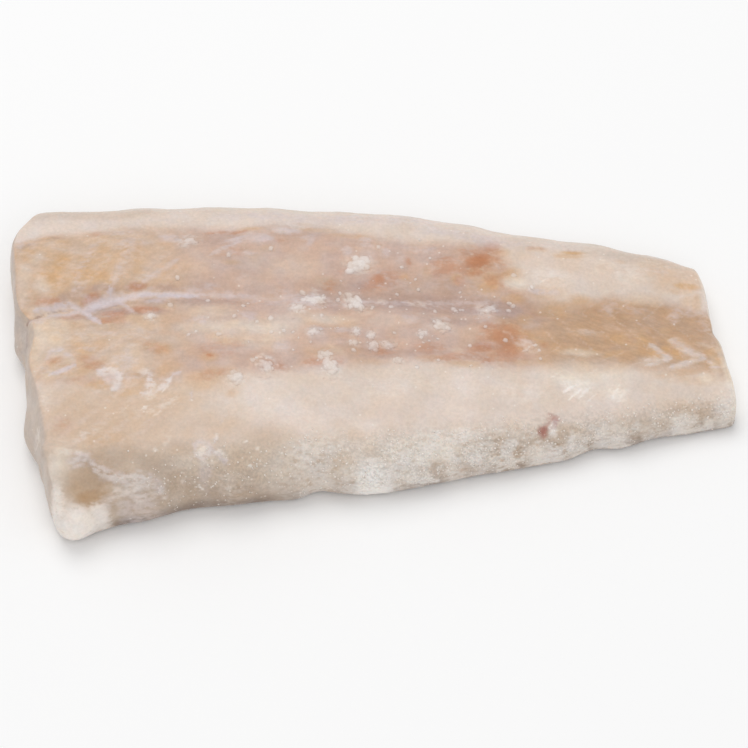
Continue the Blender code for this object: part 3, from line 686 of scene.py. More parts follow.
    streaks: Marks = (
        # the flesh's reddish tone in diagonal lines
        (Tone.ROSE_AND_SHADE, (
            (11, 70, 332, 59, 352, 27, 367, -10), (10, 50, 305, 19, 331, 2, 362, -4),
        )),
        (Tone.PALE, (
            (13, 80, 731, 36, 746, 21, 765, 2, 777, -7, 789, -11),
            (10, 70, 786, -13, 762, -23, 741, -30, 717, -36),
            (18, 90, 785, 50, 807, 41, 825, 22, 844, 9, 863, -1, 874, -5),
            (13, 80, 874, -5, 849, -12, 822, -25, 802, -34, 784, -39), (7, 60, 856, 47, 878, 37, 899, 32),
            (8, 50, 342, 41, 373, 53, 405, 47), (8, 50, 320, -8, 357, 7, 388, 3),
        )),
        # painted shade: dark lines in the creases
        (Tone.CREASE, (
            (5, 100, -894, 83, -876, 82, -863, 92, -845, 100), (4, 60, -845, 100, -813, 112, -774, 117),
            (6, 70, -747, 113, -715, 115, -682, 122, -657, 132), (5, 40, -598, 135, -565, 140, -532, 134),
            (6, 35, -930, 289, -913, 312, -885, 333, -846, 344, -805, 347),
            (4, 40, -894, 80, -890, 44, -894, 13), (4, 30, -575, 72, -559, 69),
            (4, 30, -507, 144, -467, 135, -441, 131), (4, 60, -50, 132, -32, 116, -9, 108),
            (3, 40, -56, 239, -29, 233, -6, 241), (3, 60, 177, 57, 192, 47, 212, 56),
            (3, 40, -3, -10, 23, -15, 68, -9), (3, 30, -205, 86, -179, 82, -146, 89),
            (3, 35, -285, -103, -259, -111, -245, -98), (3, 30, -118, -107, -92, -114, -73, -103),
            (4, 25, 516, 371, 541, 320, 571, 325), (4, 25, 450, -179, 468, -189, 487, -191),
        )),
        (Tone.MEMBRANE, (
            (
                19, 45, -707, -356, -681, -373, -650, -391, -615, -396, -575, -392, -545, -397, -526, -406,
                -512, -413,
            ),
            (17, 35, -568, -406, -601, -414, -634, -424, -664, -441, -696, -460),
            (12, 75, -876, 109, -842, 114, -807, 127, -784, 134),
            (12, 85, -786, 137, -765, 126, -738, 108, -716, 87, -696, 69),
            (10, 80, -885, 76, -861, 79, -825, 95, -785, 103, -744, 118),
            (21, 90, -749, 114, -716, 129, -687, 142, -662, 150, -625, 156),
            (14, 100, -677, 145, -625, 156, -578, 165, -541, 161, -494, 161, -452, 162),
            (14, 60, -468, 163, -409, 168, -311, 166), (12, 80, -676, 162, -678, 183),
            (17, 40, -673, 174, -656, 230, -636, 295, -618, 352), (14, 50, -600, 193, -554, 230, -503, 268),
            (12, 60, -419, 279, -388, 303, -352, 325, -315, 349),
            (17, 35, -772, 172, -757, 233, -732, 307, -714, 355), (10, 70, -661, 144, -633, 127, -608, 99),
            (8, 40, -593, 174, -567, 184), (11, 40, -638, -91, -613, -62, -634, -31),
            (10, 90, -820, -104, -785, -90, -753, -70),
            (11, 50, -754, -70, -764, -48, -790, -24, -819, -21, -833, -52),
            (22, 50, -696, -90, -664, -86, -635, -94), (19, 55, -638, -98, -644, -125, -655, -145),
            (17, 55, -561, -100, -558, -150), (12, 50, -542, -152, -521, -129, -502, -103),
            (10, 45, -584, -154, -552, -158), (8, 70, -503, -98, -475, -85), (6, 50, -455, -176, -449, -139),
            (6, 35, -579, -251, -555, -236),
            (11, 60, -441, -323, -436, -297, -407, -294, -399, -320, -422, -339, -441, -325),
            (11, 60, -391, -323, -359, -342), (10, 60, -383, -273, -390, -300),
            (8, 50, -369, -341, -356, -351), (8, 35, -365, -217, -377, -247), (7, 35, -757, -22, -726, -13),
            (12, 55, 731, 36, 746, 21, 765, 2, 777, -7, 789, -11),
            (9, 50, 786, -13, 762, -23, 741, -30, 717, -36),
            (17, 60, 785, 50, 807, 41, 825, 22, 844, 9, 863, -1, 874, -5),
            (12, 55, 874, -5, 849, -12, 822, -25, 802, -34, 784, -39), (7, 50, 878, -10, 896, -20),
            (8, 60, 884, -33, 916, -30), (8, 25, 692, 134, 718, 91, 751, 52),
            (8, 20, 633, 103, 673, 65, 706, 21),
            (12, 35, -364, 164, -285, 161, -200, 155, -69, 154, 56, 141),
            (10, 50, 30, 139, 161, 151, 266, 155, 318, 151),
        )),
        # white streaks, and painted highlights as short bright streaks on the belly side near x 50 to 65 mm
        (Tone.WHITE, (
            (17, 40, -695, -89, -664, -86, -635, -92), (15, 45, -638, -98, -644, -126, -656, -143),
            (14, 45, -561, -100, -558, -149), (10, 45, -543, -152, -521, -129, -502, -103),
            (8, 40, -584, -154, -553, -159), (12, 60, -428, -331, -418, -314, -408, -304),
            (10, 55, -390, -322, -373, -325, -360, -338), (10, 60, -384, -273, -386, -290),
            (14, 50, -361, -391, -348, -387), (8, 50, -429, -387, -420, -389),
            (8, 40, -471, -380, -468, -386), (8, 90, -302, -347, -295, -349),
            (10, 50, -287, -310, -277, -312), (8, 50, -315, -293, -310, -297),
            (10, 40, -544, -318, -534, -320), (8, 25, 342, 59, 363, 52, 381, 30), (7, 50, 398, -2, 419, 12),
            (14, 35, -566, -215, -531, -198, -488, -171), (11, 12, 257, 275, 276, 295, 293, 312),
            (11, 30, 332, 287, 345, 267), (11, 40, 420, 199, 444, 216),
            (14, 50, -146, 181, -128, 161, -122, 136),
            (8, 45, -289, -71, -290, -45, -270, -30, -249, -45, -230, -71), (19, 70, 473, -218, 470, -230),
            (10, 20, -497, -257, -507, -292, -520, -321), (5, 40, -548, -226, -530, -210, -513, -197),
            (4, 35, -508, -205, -485, -182), (5, 40, -500, -177, -485, -158),
            (6, 50, -581, -206, -557, -188), (6, 40, -608, -190, -625, -202),
            (6, 50, -532, -162, -514, -130), (11, 40, -809, -342, -778, -334, -721, -334),
            (10, 45, -701, -359, -676, -379, -645, -394, -610, -397),
            (11, 40, -630, -397, -595, -391, -560, -392, -535, -403),
            (8, 30, -606, -403, -570, -400, -546, -403),
            (10, 40, -576, -408, -611, -416, -647, -430, -677, -448), (7, 40, -621, -409, -646, -420),
            (10, 35, -602, -421, -577, -427, -552, -421), (10, 35, -526, -405, -515, -418),
            (9, 100, 502, -130, 532, -103), (8, 100, 517, -148, 550, -111), (8, 90, 541, -141, 571, -106),
            (7, 70, 559, -156, 586, -126), (9, 80, 627, -139, 646, -99), (8, 70, 642, -146, 659, -113),
            (7, 50, 620, -118, 634, -93), (7, 70, 452, 219, 468, 232), (5, 50, 473, -86, 494, -66),
            (4, 40, 573, -65, 594, -49),
        )),
        (Tone.BLOOD, (
            (7, 65, 447, -229, 457, -215, 467, -203, 480, -192), (6, 50, 480, -192, 485, -204, 475, -213),
            (8, 50, 456, -215, 465, -202, 477, -196, 487, -202), (8, 35, 488, -204, 481, -216, 467, -222),
        )),
    )
    warp: tuple[Pair, ...] = ((2.0, 0.25), (0.9, 0.30))
    warp_across: float = 0.7
    cloud: Mottle = (0.012, 8, 4)
    frost_cloud: Mottle = (0.0045, 14, 3)
    marks_from: Pair = (0.6, 2.2)
    muscle_from: Pair = (2.0, 6.0)
    segment: float = 8.0
    segment_slants: Pair = (0.9, 1.4)
    segment_wander: float = 1.5
    line_width: float = 0.08
    band_width: float = 0.36
    flexure: float = 12.0
    top_fade: float = 2.6
    slant_fade: float = 3.4
    slant: Pair = (41.0, 9.0)
    foot_fade: float = 3.0
    tail_from: Pair = (34.0, 52.0)
    head_from: Pair = (-38.0, -62.0)
    wall_from: Pair = (-2.5, 6.0)
    side_from: Pair = (0.3, 0.8)
    cut_from: Pair = (0.25, 0.7)
    foot_from: Pair = (12.0, 4.0)
    # painted shade at the foot of the belly wall: by height, by way below the wall's top, and along the fillet
    foot_shade_low: Pair = (8.0, 2.5)
    foot_shade_front: Pair = (-1.0, 3.0)
    foot_shade_from: Pair = (-86.0, -74.0)
    grain_from: Pair = (-66.0, -40.0)
    grain_more: Pair = (-18.0, 10.0)
    crust_front: Pair = (0.0, 5.0)
    crust_from: Pair = (-5.0, 14.0)
    frost_in: Pair = (0.0, 0.5)
    dim_in: Pair = (0.1, -0.4)
    crumbs_in: Pair = (-0.35, 0.3)
    head_end: Pair = (-94.0, 2.5)
    tail_end: Pair = (96.0, 4.0)
    crumbs_at: Pair = (3.0, 31.0)
    crumbs_beside: Pair = (-4.0, 13.0)
    frost: float = 0.65
    dimness: float = 0.85
    haze_reach: float = 1.35
    haze_strength: float = 0.35

    def segment_lines(
        self, x: np.ndarray, beside: np.ndarray, wander: np.ndarray, soft: np.ndarray
    ) -> np.ndarray:
        """Works out the thin sheets between the muscle segments, which zigzag away from the septum.

        Args:
            x: places along the fillet.
            beside: distances from the septum.
            wander: noise that keeps the lines uneven.
            soft: 0 for fine lines, 1 for broad soft bands.

        Returns:
            How strongly a line shows at each place.
        """
        away = np.abs(beside)
        out, back = self.segment_slants
        shift = np.where(away < self.flexure, out * away, out * self.flexure - back * (away - self.flexure))
        place = (x - shift + self.segment_wander * wander) / self.segment
        width = self.line_width + self.band_width * soft
        return ease(1.0, 0.2, np.abs(place - np.round(place)) / width)

    def muscle(self, x: np.ndarray, y: np.ndarray, z: np.ndarray, cloud: np.ndarray) -> np.ndarray:
        """Works out where the darker muscle shows, between its top and its foot.

        Args:
            x: places along the fillet.
            y: places across it.
            z: heights above the underside.
            cloud: noise that keeps it uneven.

        Returns:
            How strongly it shows at each place.
        """
        middle, reach = self.slant
        fade = self.top_fade + self.slant_fade * bump(x - middle, reach)
        top_in, foot_in = through(self.muscle_top, x) - y, y - through(self.muscle_foot, x)
        muscle = ease(-1.0, 1.0, top_in / fade) * ease(-self.foot_fade, self.foot_fade, foot_in)
        return np.clip(muscle * (0.97 + 0.22 * cloud), 0, 1) * ease(*self.muscle_from, z)

    def haze(self, x: np.ndarray, y: np.ndarray, clumps: tuple["Clump", ...]) -> np.ndarray:
        """Works out the thin frost round each lump of ice.

        Args:
            x: places along the fillet.
            y: places across it.
            clumps: the lumps.

        Returns:
            How strongly it shows at each place.
        """
        cover = np.zeros_like(x)
        for clump in clumps:
            length, width = self.haze_reach * clump.length, self.haze_reach * clump.width
            size = np.array((clump.x, clump.y, length, width)) / MM
            cover = np.maximum(cover, Stain(*size, clump.turn, self.haze_strength).cover(x, y))
        return cover

    def marks(self) -> Iterator[tuple[Tone, Stain | Streak]]:
        """Reads both tables.

        Yields:
            One mark with its tone at a time.
        """
        for kind, table in ((Stain, self.stains), (Streak, self.streaks)):
            for tone, rows in table:
                for row in rows:
                    yield tone, kind.of(row)

    def measure(self, points: np.ndarray, out: np.ndarray) -> dict[Tone, np.ndarray]:
        """Works out every tone's strength.

        Args:
            points: the flesh's points, in metres.
            out: the way out at each point.

        Returns:
            A value from 0 to 1 for each tone and point.
        """
        x, y, z = points.T / MM
        for number, (size, reach) in enumerate(self.warp):
            x = x + reach * mottle(points, size * MM, 2 * number + 1)
            y = y + self.warp_across * reach * mottle(points, size * MM, 2 * number + 2)
        upper = ease(*self.marks_from, z)
        cloud = mottle(points, *self.cloud)
        patch = mottle(points, *self.frost_cloud)
        beside = y - through(self.septum, x)
        front = through(self.wall_top, x) - y
        wall = ease(*self.wall_from, front)
        cut = ease(*self.cut_from, np.abs(out[:, 0]))
        head_end, tail_end = (bump(x - middle, reach) for middle, reach in (self.head_end, self.tail_end))
        muscle = self.muscle(x, y, z, cloud)
        right, left = ease(*self.tail_from, x), ease(*self.head_from, x)
        crust = ease(*self.crust_front, front) * ease(*self.crust_from, x) * upper
        # painted shade, darker low down on the belly wall past the head end
        rim = ease(*self.foot_shade_low, z) * ease(*self.foot_shade_front, front) * ease(*self.foot_shade_from, x)
        grain = wall * ease(*self.grain_from, x) * (0.75 + 0.5 * cloud)
        (crumbs_x, crumbs_reach), (crumbs_y, crumbs_spread) = self.crumbs_at, self.crumbs_beside
        belt = bump(x - crumbs_x, crumbs_reach) * bump(beside - crumbs_y, crumbs_spread)
        tones = {tone: np.zeros_like(x) for tone in Tone}
        tones |= {
            Tone.MUSCLE: muscle,
            Tone.TAN: muscle * left,
            Tone.BROWN: muscle * right,
            # the belly wall's tan, and painted shade on the wall and where the surface turns to the back edge
            Tone.WALL: np.maximum(wall, ease(*self.side_from, out[:, 1])),
            # painted shade at the foot of the belly wall, broken up by clouds
            Tone.FOOT_SHADE: rim * (1.0 + 0.5 * cloud),
            Tone.CUT: np.clip(cut * (x < 0) + 0.5 * head_end * ease(*self.foot_from, z), 0, 1),
            # painted light: the tail cut and the tail end made lighter
            Tone.GLOW: np.clip(cut * (x > 0) * 0.5 + 0.45 * tail_end, 0, 1),
            Tone.SEPTA: self.segment_lines(x, beside, cloud, left * upper),
            Tone.GRAIN: grain * (0.4 + 0.6 * ease(*self.grain_more, x)),
            Tone.FROST: self.frost * crust * ease(*self.frost_in, patch),
            # bare brown flesh where the wall's crust has no frost
            Tone.BROWN_WALL_AND_SHADE: self.dimness * crust * ease(*self.dim_in, patch),
            Tone.CRUMBS: upper * belt * ease(*self.crumbs_in, cloud),
        }
        for tone, mark in self.marks():
            tones[tone] = np.maximum(tones[tone], mark.cover(x, y) * upper)
        tones[Tone.GRAIN] = np.maximum(tones[Tone.GRAIN], tones[Tone.FROST])
        tones[Tone.GRAIN] *= (1 - 0.6 * tones[Tone.FOOT_SHADE]) * (1 - 0.4 * tones[Tone.BROWN_WALL_AND_SHADE])
        tones[Tone.FROST] = np.maximum(tones[Tone.FROST], self.haze(x, y, IceClumps.large) * upper)
        tones[Tone.FOOT_SHADE] = tones[Tone.FOOT_SHADE] * (1 - tones[Tone.FROST])
        lines = 0.06 + 0.24 * left + 0.24 * right * muscle
        tones[Tone.SEPTA] = tones[Tone.SEPTA] * np.where(z < 2.0, 0.6, lines)
        return {tone: np.clip(value, 0, 1) for tone, value in tones.items()}


@dataclass(frozen=True)
class FilletFlesh:
    """The fish itself: one closed skinless body, fine enough to show its grain in the mesh.

    The shell has so many rows of quads along, across and up, which crowd together towards its edges. Each
    kind of relief has a height and a mottle of a size, a seed and octaves.
    """

    form: FilletForm = FilletForm()
    marks: FleshMarks = FleshMarks()
    along: int = 330
    across: int = 180
    up: int = 24
    crowd_along: float = 0.40
    crowd_across: float = 0.50
    underside_gap: float = 0.0025
    flat_within: float = 1e-6
    grain: float = 0.00005
    grain_mottle: Mottle = (0.0021, 9, 3)
    dimple: float = 0.00016
    dimple_mottle: Mottle = (0.0075, 10, 2)
    crust: float = 0.00022
    crust_fine: Mottle = (0.0013, 11, 2)
    crust_coarse: Mottle = (0.0030, 12, 2)
    raised: tuple[tuple[Tone, float], ...] = (
        (Tone.MEMBRANE, 0.00018),
        (Tone.WHITE, 0.00014),
        (Tone.BLOOD, -0.00010),
    )
    frost_patch: Stain = Stain(-1.0, -34.4, 11.4, 8.0, 0, 0.0006)
    frost_patch_from: float = 0.004
    frost_patch_mottle: Mottle = (0.0016, 13, 2)
    rough_from: Pair = (0.0002, 0.0020)

    @staticmethod
    def crowded_ends(share: np.ndarray, crowding: float) -> np.ndarray:
        """Spaces rows of shares from 0 to 1 closer together at both ends, where the edges are rounded."""
        reach = math.pi / 2 * crowding
        return 0.5 + 0.5 * np.sin((2 * share - 1) * reach) / math.sin(reach)

    def shell(self) -> bmesh.types.BMesh:
        """Builds the box of quads that the form is mapped from.

        Returns:
            The box, with sides of 1.
        """
        box = bmesh.new()
        bmesh.ops.create_cube(box, size=1.0)
        bmesh.ops.translate(box, verts=box.verts, vec=Vector((0.5, 0.5, 0.5)))
        for axis, rows in enumerate((self.along, self.across, self.up)):
            edges = [edge for edge in box.edges if abs(edge.verts[0].co[axis] - edge.verts[1].co[axis]) > 0.5]
            bmesh.ops.subdivide_edges(box, edges=edges, cuts=rows - 1, use_grid_fill=True)
        return box

    def coarsen_underside(self, shell: bmesh.types.BMesh) -> None:
        """Replaces the flat underside's fine quads by larger even triangles, with the same edge.

        Args:
            shell: the flesh, whose underside is at height 0.
        """
        flat = [face for face in shell.faces if max(vert.co.z for vert in face.verts) < self.flat_within]
        inside = set(flat)
        rim_edges = [e for face in flat for e in face.edges if sum(f in inside for f in e.link_faces) == 1]
        rim = list(dict.fromkeys(vert for edge in rim_edges for vert in edge.verts))
        number = {vert: place for place, vert in enumerate(rim)}
        border = [(number[edge.verts[0]], number[edge.verts[1]]) for edge in rim_edges]
        low = np.min([vert.co[:2] for vert in rim], axis=0)
        high = np.max([vert.co[:2] for vert in rim], axis=0)
        xs, ys = (np.arange(low[axis], high[axis], self.underside_gap) for axis in (0, 1))
        spread = [Vector((x, y + row % 2 * self.underside_gap / 2)) for row, x in enumerate(xs) for y in ys]
        places = [vert.co.xy for vert in rim] + spread
        bmesh.ops.delete(shell, geom=flat, context="FACES")
        found, _, faces, old, *_ = delaunay_2d_cdt(places, border, [], 1, 1e-9)
        verts = []
        for place, sources in zip(found, old):
            known = [source for source in sources if source < len(rim)]
            verts.append(rim[known[0]] if known else shell.verts.new((place.x, place.y, 0.0)))
        for face in faces:
            shell.faces.new([verts[corner] for corner in reversed(face)])
        bmesh.ops.delete(shell, geom=[vert for vert in shell.verts if not vert.link_faces], context="VERTS")
        bmesh.ops.recalc_face_normals(shell, faces=shell.faces)

    def roughen(self, points: np.ndarray, out: np.ndarray, tones: dict[Tone, np.ndarray]) -> np.ndarray:
        """Adds the frozen surface's fine relief along the way out.

        Args:
            points: the smooth form's points.
            out: the way out at each point.
            tones: the strength of each tone there.

        Returns:
            The roughened points. The underside stays flat.
        """
        height = self.grain * mottle(points, *self.grain_mottle)
        height += self.dimple * mottle(points, *self.dimple_mottle)
        crust = np.abs(mottle(points, *self.crust_fine)) + 0.5 * np.abs(mottle(points, *self.crust_coarse))
        height += self.crust * crust * tones[Tone.GRAIN]
        height += sum(rise * tones[tone] for tone, rise in self.raised)
        patch = self.frost_patch.cover(points[:, 0] / MM, points[:, 1] / MM)
        patch *= ease(0.0, self.frost_patch_from, points[:, 2])
        height += patch * (1 + 0.5 * mottle(points, *self.frost_patch_mottle))
        height *= ease(*self.rough_from, points[:, 2])
        lift = out * height[:, None]
        lift[:, 2] = np.where(out[:, 2] > 0, lift[:, 2], 0)
        return points + lift

    def build(self) -> bpy.types.Object:
        """Builds the flesh.

        Returns:
            The piece, with one mesh attribute for each tone.
        """
        shell = self.shell()
        shares = np.array([vert.co for vert in shell.verts])
        along = self.crowded_ends(shares[:, 0], self.crowd_along)
        across = self.crowded_ends(shares[:, 1], self.crowd_across)
        points, out = self.form.surface(along, across, shares[:, 2])
        tones = self.marks.measure(points, out)
        for vert, point in zip(shell.verts, self.roughen(points, out, tones)):
            vert.co = point
        keep = shell.verts.layers.int.new("source")
        for number, vert in enumerate(shell.verts):
            vert[keep] = number + 1
        self.coarsen_underside(shell)
        mesh = bpy.data.meshes.new("fillet_flesh")
        shell.to_mesh(mesh)
        shell.free()
        self.store(mesh, tones)
        mesh.shade_smooth()
        flesh = bpy.data.objects.new("fillet_flesh", mesh)
        bpy.context.scene.collection.objects.link(flesh)
        return flesh

    def store(self, mesh: bpy.types.Mesh, tones: dict[Tone, np.ndarray]) -> None:
        """Writes each tone as a mesh attribute; the underside's new points are measured afresh.

        Args:
            mesh: the finished mesh, whose attribute "source" numbers the shell's points from 1.
            tones: the strength of each tone at the shell's points.
        """
        source = np.empty(len(mesh.vertices), dtype=np.int32)
        mesh.attributes["source"].data.foreach_get("value", source)
        places = np.empty(3 * len(mesh.vertices))
        mesh.vertices.foreach_get("co", places)
        fresh = source == 0
        down = np.tile((0.0, 0.0, -1.0), (int(fresh.sum()), 1))
        below = self.marks.measure(places.reshape(-1, 3)[fresh], down)
        for tone, value in tones.items():
            strength = value[np.maximum(source - 1, 0)].astype(np.float32)
            strength[fresh] = below[tone]
            layer = mesh.attributes.new(tone.value, "FLOAT", "POINT")
            layer.data.foreach_set("value", strength)
        mesh.attributes.remove(mesh.attributes["source"])


class Nodes:
    """A material's node tree, built with short calls. Places are Object coordinates, in metres."""

    def __init__(self, name: str) -> None:
        """Makes the material, with its shader and its output.

        Args:
            name: the material's name.
        """
        self.material = bpy.data.materials.new(name)
        self.material.use_nodes = True
        self.tree = self.material.node_tree
        self.shader = self.tree.nodes["Principled BSDF"]
        self.places = self.add("ShaderNodeTexCoord", {}).outputs["Object"]

    def add(self, kind: str, inputs: dict[int | str, Feed], **settings: object) -> bpy.types.Node:
        """Adds a node to the material."""
        return add_node(self.tree, kind, inputs, **settings)

    def noise(
        self, size: float, detail: float = 2.0, stretch: Triple = (1.0, 1.0, 1.0), turn: float = 0.0
    ) -> Socket:
        """Noise from 0 to 1, drawn out along its own axes.

        Args:
            size: the size of its lumps, in metres.
            detail: how many finer layers are added.
            stretch: how much longer the lumps are on each axis.
            turn: the turn of its axes about Z, in degrees.

        Returns:
            The noise.
        """
        scale = tuple(1 / (size * reach) for reach in stretch)
        inputs = {"Vector": self.places, "Rotation": (0.0, 0.0, math.radians(turn))}
        place = self.add("ShaderNodeMapping", inputs, vector_type="TEXTURE").outputs[0]
        place = self.add("ShaderNodeMapping", {"Vector": place, "Scale": scale}).outputs[0]
        cloudy = self.add("ShaderNodeTexNoise", {"Vector": place, "Scale": 1.0, "Detail": detail})
        return cloudy.outputs["Fac"]

    def share(self, attribute: str) -> Socket:
        """Reads one of the mesh's attributes."""
        return self.add("ShaderNodeAttribute", {}, attribute_name=attribute).outputs["Fac"]

    def tone(self, tone: Tone) -> Socket:
        """How strongly a tone shows."""
        return self.share(tone.value)

    def compute(self, operation: str, first: Feed, second: Feed, third: Feed = 0.0) -> Socket:
        """One step of arithmetic, kept from 0 to 1."""
        inputs = {0: first, 1: second, 2: third}
        return self.add("ShaderNodeMath", inputs, operation=operation, use_clamp=True).outputs[0]

    def rise(self, value: Socket, low: float, high: float, least: float = 0.0, most: float = 1.0) -> Socket:
        """A smooth rise from least to most as the value goes from low to high."""
        inputs = {"Value": value, "From Min": low, "From Max": high, "To Min": least, "To Max": most}
        return self.add("ShaderNodeMapRange", inputs, interpolation_type="SMOOTHSTEP").outputs[0]

    def blend(self, under: Feed, over: Feed, factor: Feed, how: str = "MIX") -> Socket:
        """Lays one colour over another."""
        colours = {6: self.opaque(under), 7: self.opaque(over), 0: factor}
        return self.add("ShaderNodeMix", colours, data_type="RGBA", blend_type=how).outputs[2]

    @staticmethod
    def opaque(colour: Feed) -> Feed:
        """Adds the fourth channel that a plain colour lacks."""
        return (*colour, 1.0) if isinstance(colour, tuple) else colour

    def bumps(self, height: Socket, distance: float) -> None:
        """Gives the shader fine bumps of a height in metres."""
        bump_node = self.add("ShaderNodeBump", {"Height": height, "Distance": distance, "Strength": 1.0})
        self.tree.links.new(bump_node.outputs[0], self.shader.inputs["Normal"])

    def finish(self, colour: Feed, roughness: Feed, **constants: Feed) -> bpy.types.Material:
        """Sets the shader's colour, roughness and constants.

        Args:
            colour: the base colour, plain or from a node.
            roughness: the roughness, plain or from a node.
            constants: other inputs of the shader, with _ for each space in the name.

        Returns:
            The material.
        """
        for name, value in {"Base_Color": self.opaque(colour), "Roughness": roughness, **constants}.items():
            socket = self.shader.inputs[name.replace("_", " ")]
            if isinstance(value, Socket):
                self.tree.links.new(value, socket)
            else:
                socket.default_value = value
        return self.material


@dataclass(frozen=True)
class FleshFinish:
    """Pale frozen flesh, with the colours of its muscle, stains, membranes and frost, and its painted shade and
    painted light, laid on in order.

    Each layer is a tone, its colour, how much the clouds break it up and whether its edge is feathered. Each
    size is that of the largest lumps of a noise, and each pair of shades is the least and the most that the
    noise multiplies the colour by. Each share of a noise is how much the tone adds to it, and what it has
    without the tone. Each kind of fibre is a tone, a turn in degrees and a depth of shade.
    """

    light: Colour = (0.76, 0.65, 0.58)
    dark: Colour = (0.71, 0.595, 0.51)
    layers: tuple[tuple[Tone, Colour, float, bool], ...] = (
        (Tone.MUSCLE, (0.60, 0.43, 0.35), 0.12, False),
        (Tone.TAN, (0.63, 0.46, 0.33), 0.08, False),
        (Tone.BROWN, (0.53, 0.35, 0.225), 0.18, False),
        # reddish flesh, and painted shade
        (Tone.ROSE_AND_SHADE, (0.46, 0.325, 0.28), 0.15, False),
        (Tone.PALE, (0.72, 0.60, 0.49), 0.30, False),
        (Tone.AMBER, (0.64, 0.40, 0.205), 0.35, False),
        # orange stains, and painted shade
        (Tone.ORANGE_AND_SHADE, (0.52, 0.235, 0.12), 0.25, True),
        (Tone.SEPTA, (0.76, 0.64, 0.58), 0.50, True),
        # the walls' tan, and painted shade
        (Tone.WALL, (0.68, 0.59, 0.505), 0.20, False),
        # bare brown flesh, and painted shade
        (Tone.BROWN_WALL_AND_SHADE, (0.48, 0.365, 0.275), 0.20, False),
        # painted light, a light cream
        (Tone.GLOW, (0.90, 0.83, 0.72), 0.30, False),
        # painted shade along the foot of the belly wall
        (Tone.FOOT_SHADE, (0.28, 0.217, 0.18), 0.25, False),
        # thin flesh's brown, and painted shade in hollows
        (Tone.HOLLOW_AND_SHADE, (0.45, 0.29, 0.165), 0.10, False),
        (Tone.CUT, (0.57, 0.475, 0.405), 0.20, False),
        # painted shade in creases
        (Tone.CREASE, (0.36, 0.23, 0.19), 0.20, True),
        (Tone.MEMBRANE, (0.675, 0.59, 0.595), 0.20, True),
        # white streaks, and painted highlights
        (Tone.WHITE, (0.90, 0.83, 0.77), 0.20, True),
        (Tone.FROST, (0.89, 0.85, 0.81), 0.20, True),
        (Tone.BLOOD, (0.40, 0.16, 0.12), 0.10, True),
    )
    speck_colour: Colour = (0.90, 0.84, 0.78)
    speck_strength: float = 0.40
    speck_share: Pair = (0.5, 0.02)
    crumbs_share: float = 0.12
    tints: tuple[Colour, Colour] = ((1.03, 0.98, 0.92), (0.98, 0.99, 1.03))
    fibres: tuple[tuple[Tone, float, float], ...] = ((Tone.TAN, 38.0, 0.02), (Tone.BROWN, -20.0, 0.04))
    fibre_size: float = 0.0008
    fibre_stretch: Triple = (5.0, 1.0, 1.0)
    drawn_size: float = 0.0018
    drawn_shades: Pair = (0.91, 1.06)
    drawn_share: Pair = (0.45, 0.15)
    drawn_stretch: Triple = (2.2, 1.0, 1.0)
    patch_size: float = 0.014
    tint_size: float = 0.0045
    tint_share: Pair = (0.5, 0.4)
    cloud_size: float = 0.0055
    grain_size: float = 0.0011
    grain_shades: Pair = (0.965, 1.025)
    ice_size: float = 0.0007
    ice_shades: Pair = (0.69, 1.18)
    ice_share: Pair = (0.80, 0.10)
    feather_size: float = 0.0011
    feather_stretch: Triple = (1.8, 1.0, 1.0)
    feather_width: Pair = (0.42, 0.72)
    feather_least: float = 0.10
    speck_size: float = 0.0011
    speck_edge: Pair = (0.17, 0.38)
    bump_size: float = 0.0007
    bump_height: float = 0.00035
    bump_share: Pair = (0.88, 0.12)
    roughness: Pair = (0.40, 0.58)

    def make(self) -> bpy.types.Material:
        """Builds the material.

        Returns:
            The material, for a mesh that holds the tones.
        """
        nodes = Nodes("flesh")
        cloud = nodes.rise(nodes.noise(self.cloud_size, 4.0), *SOFT)
        rough = nodes.compute("MULTIPLY_ADD", nodes.tone(Tone.GRAIN), *self.bump_share)
        nodes.bumps(nodes.compute("MULTIPLY", nodes.noise(self.bump_size, 3.0), rough), self.bump_height)
        return nodes.finish(
            self.colour(nodes, cloud),
            nodes.rise(cloud, 0.0, 1.0, *self.roughness),
            IOR=1.36,
            Subsurface_Weight=0.2,
            Subsurface_Radius=(0.8, 0.5, 0.4),
            Subsurface_Scale=0.002,
            Coat_Weight=0.15,
            Coat_Roughness=0.2,
            Coat_IOR=1.31,
        )

    def colour(self, nodes: Nodes, cloud: Socket) -> Socket:
        """Builds the flesh's colour: its tones in order, then its fibres, its grain and its specks.

        Args:
            nodes: the material that it is built in.
            cloud: cloudy noise that breaks up each tone.

        Returns:
            The colour.
        """
        feather = nodes.noise(self.feather_size, 4.0, self.feather_stretch)
        colour = nodes.blend(self.dark, self.light, nodes.rise(nodes.noise(self.patch_size, 3.0), *CRISP))
        for tone, over, broken, feathered in self.layers:
            share = nodes.compute("MULTIPLY_ADD", cloud, 2 * broken, 1 - broken)
            strength = nodes.compute("MULTIPLY", nodes.tone(tone), share)
            if feathered:
                solid = nodes.compute("MULTIPLY_ADD", strength, 0.35, feather)
                firm = nodes.rise(solid, *self.feather_width, self.feather_least, 1.0)
                strength = nodes.compute("MULTIPLY", strength, firm)
            colour = nodes.blend(colour, over, strength)
        muscle = nodes.tone(Tone.MUSCLE)
        tint = nodes.blend(*self.tints, nodes.rise(nodes.noise(self.tint_size, 0.5), *SOFT))
        share = nodes.compute("MULTIPLY_ADD", muscle, *self.tint_share)
        colour = nodes.blend(colour, tint, share, "MULTIPLY")
        drawn = nodes.rise(nodes.noise(self.drawn_size, 3.0, self.drawn_stretch), *SOFT, *self.drawn_shades)
        share = nodes.compute("MULTIPLY_ADD", muscle, *self.drawn_share)
        colour = nodes.blend(colour, drawn, share, "MULTIPLY")
        for tone, turn, depth in self.fibres:
            fibre = nodes.noise(self.fibre_size, 2.0, self.fibre_stretch, turn)
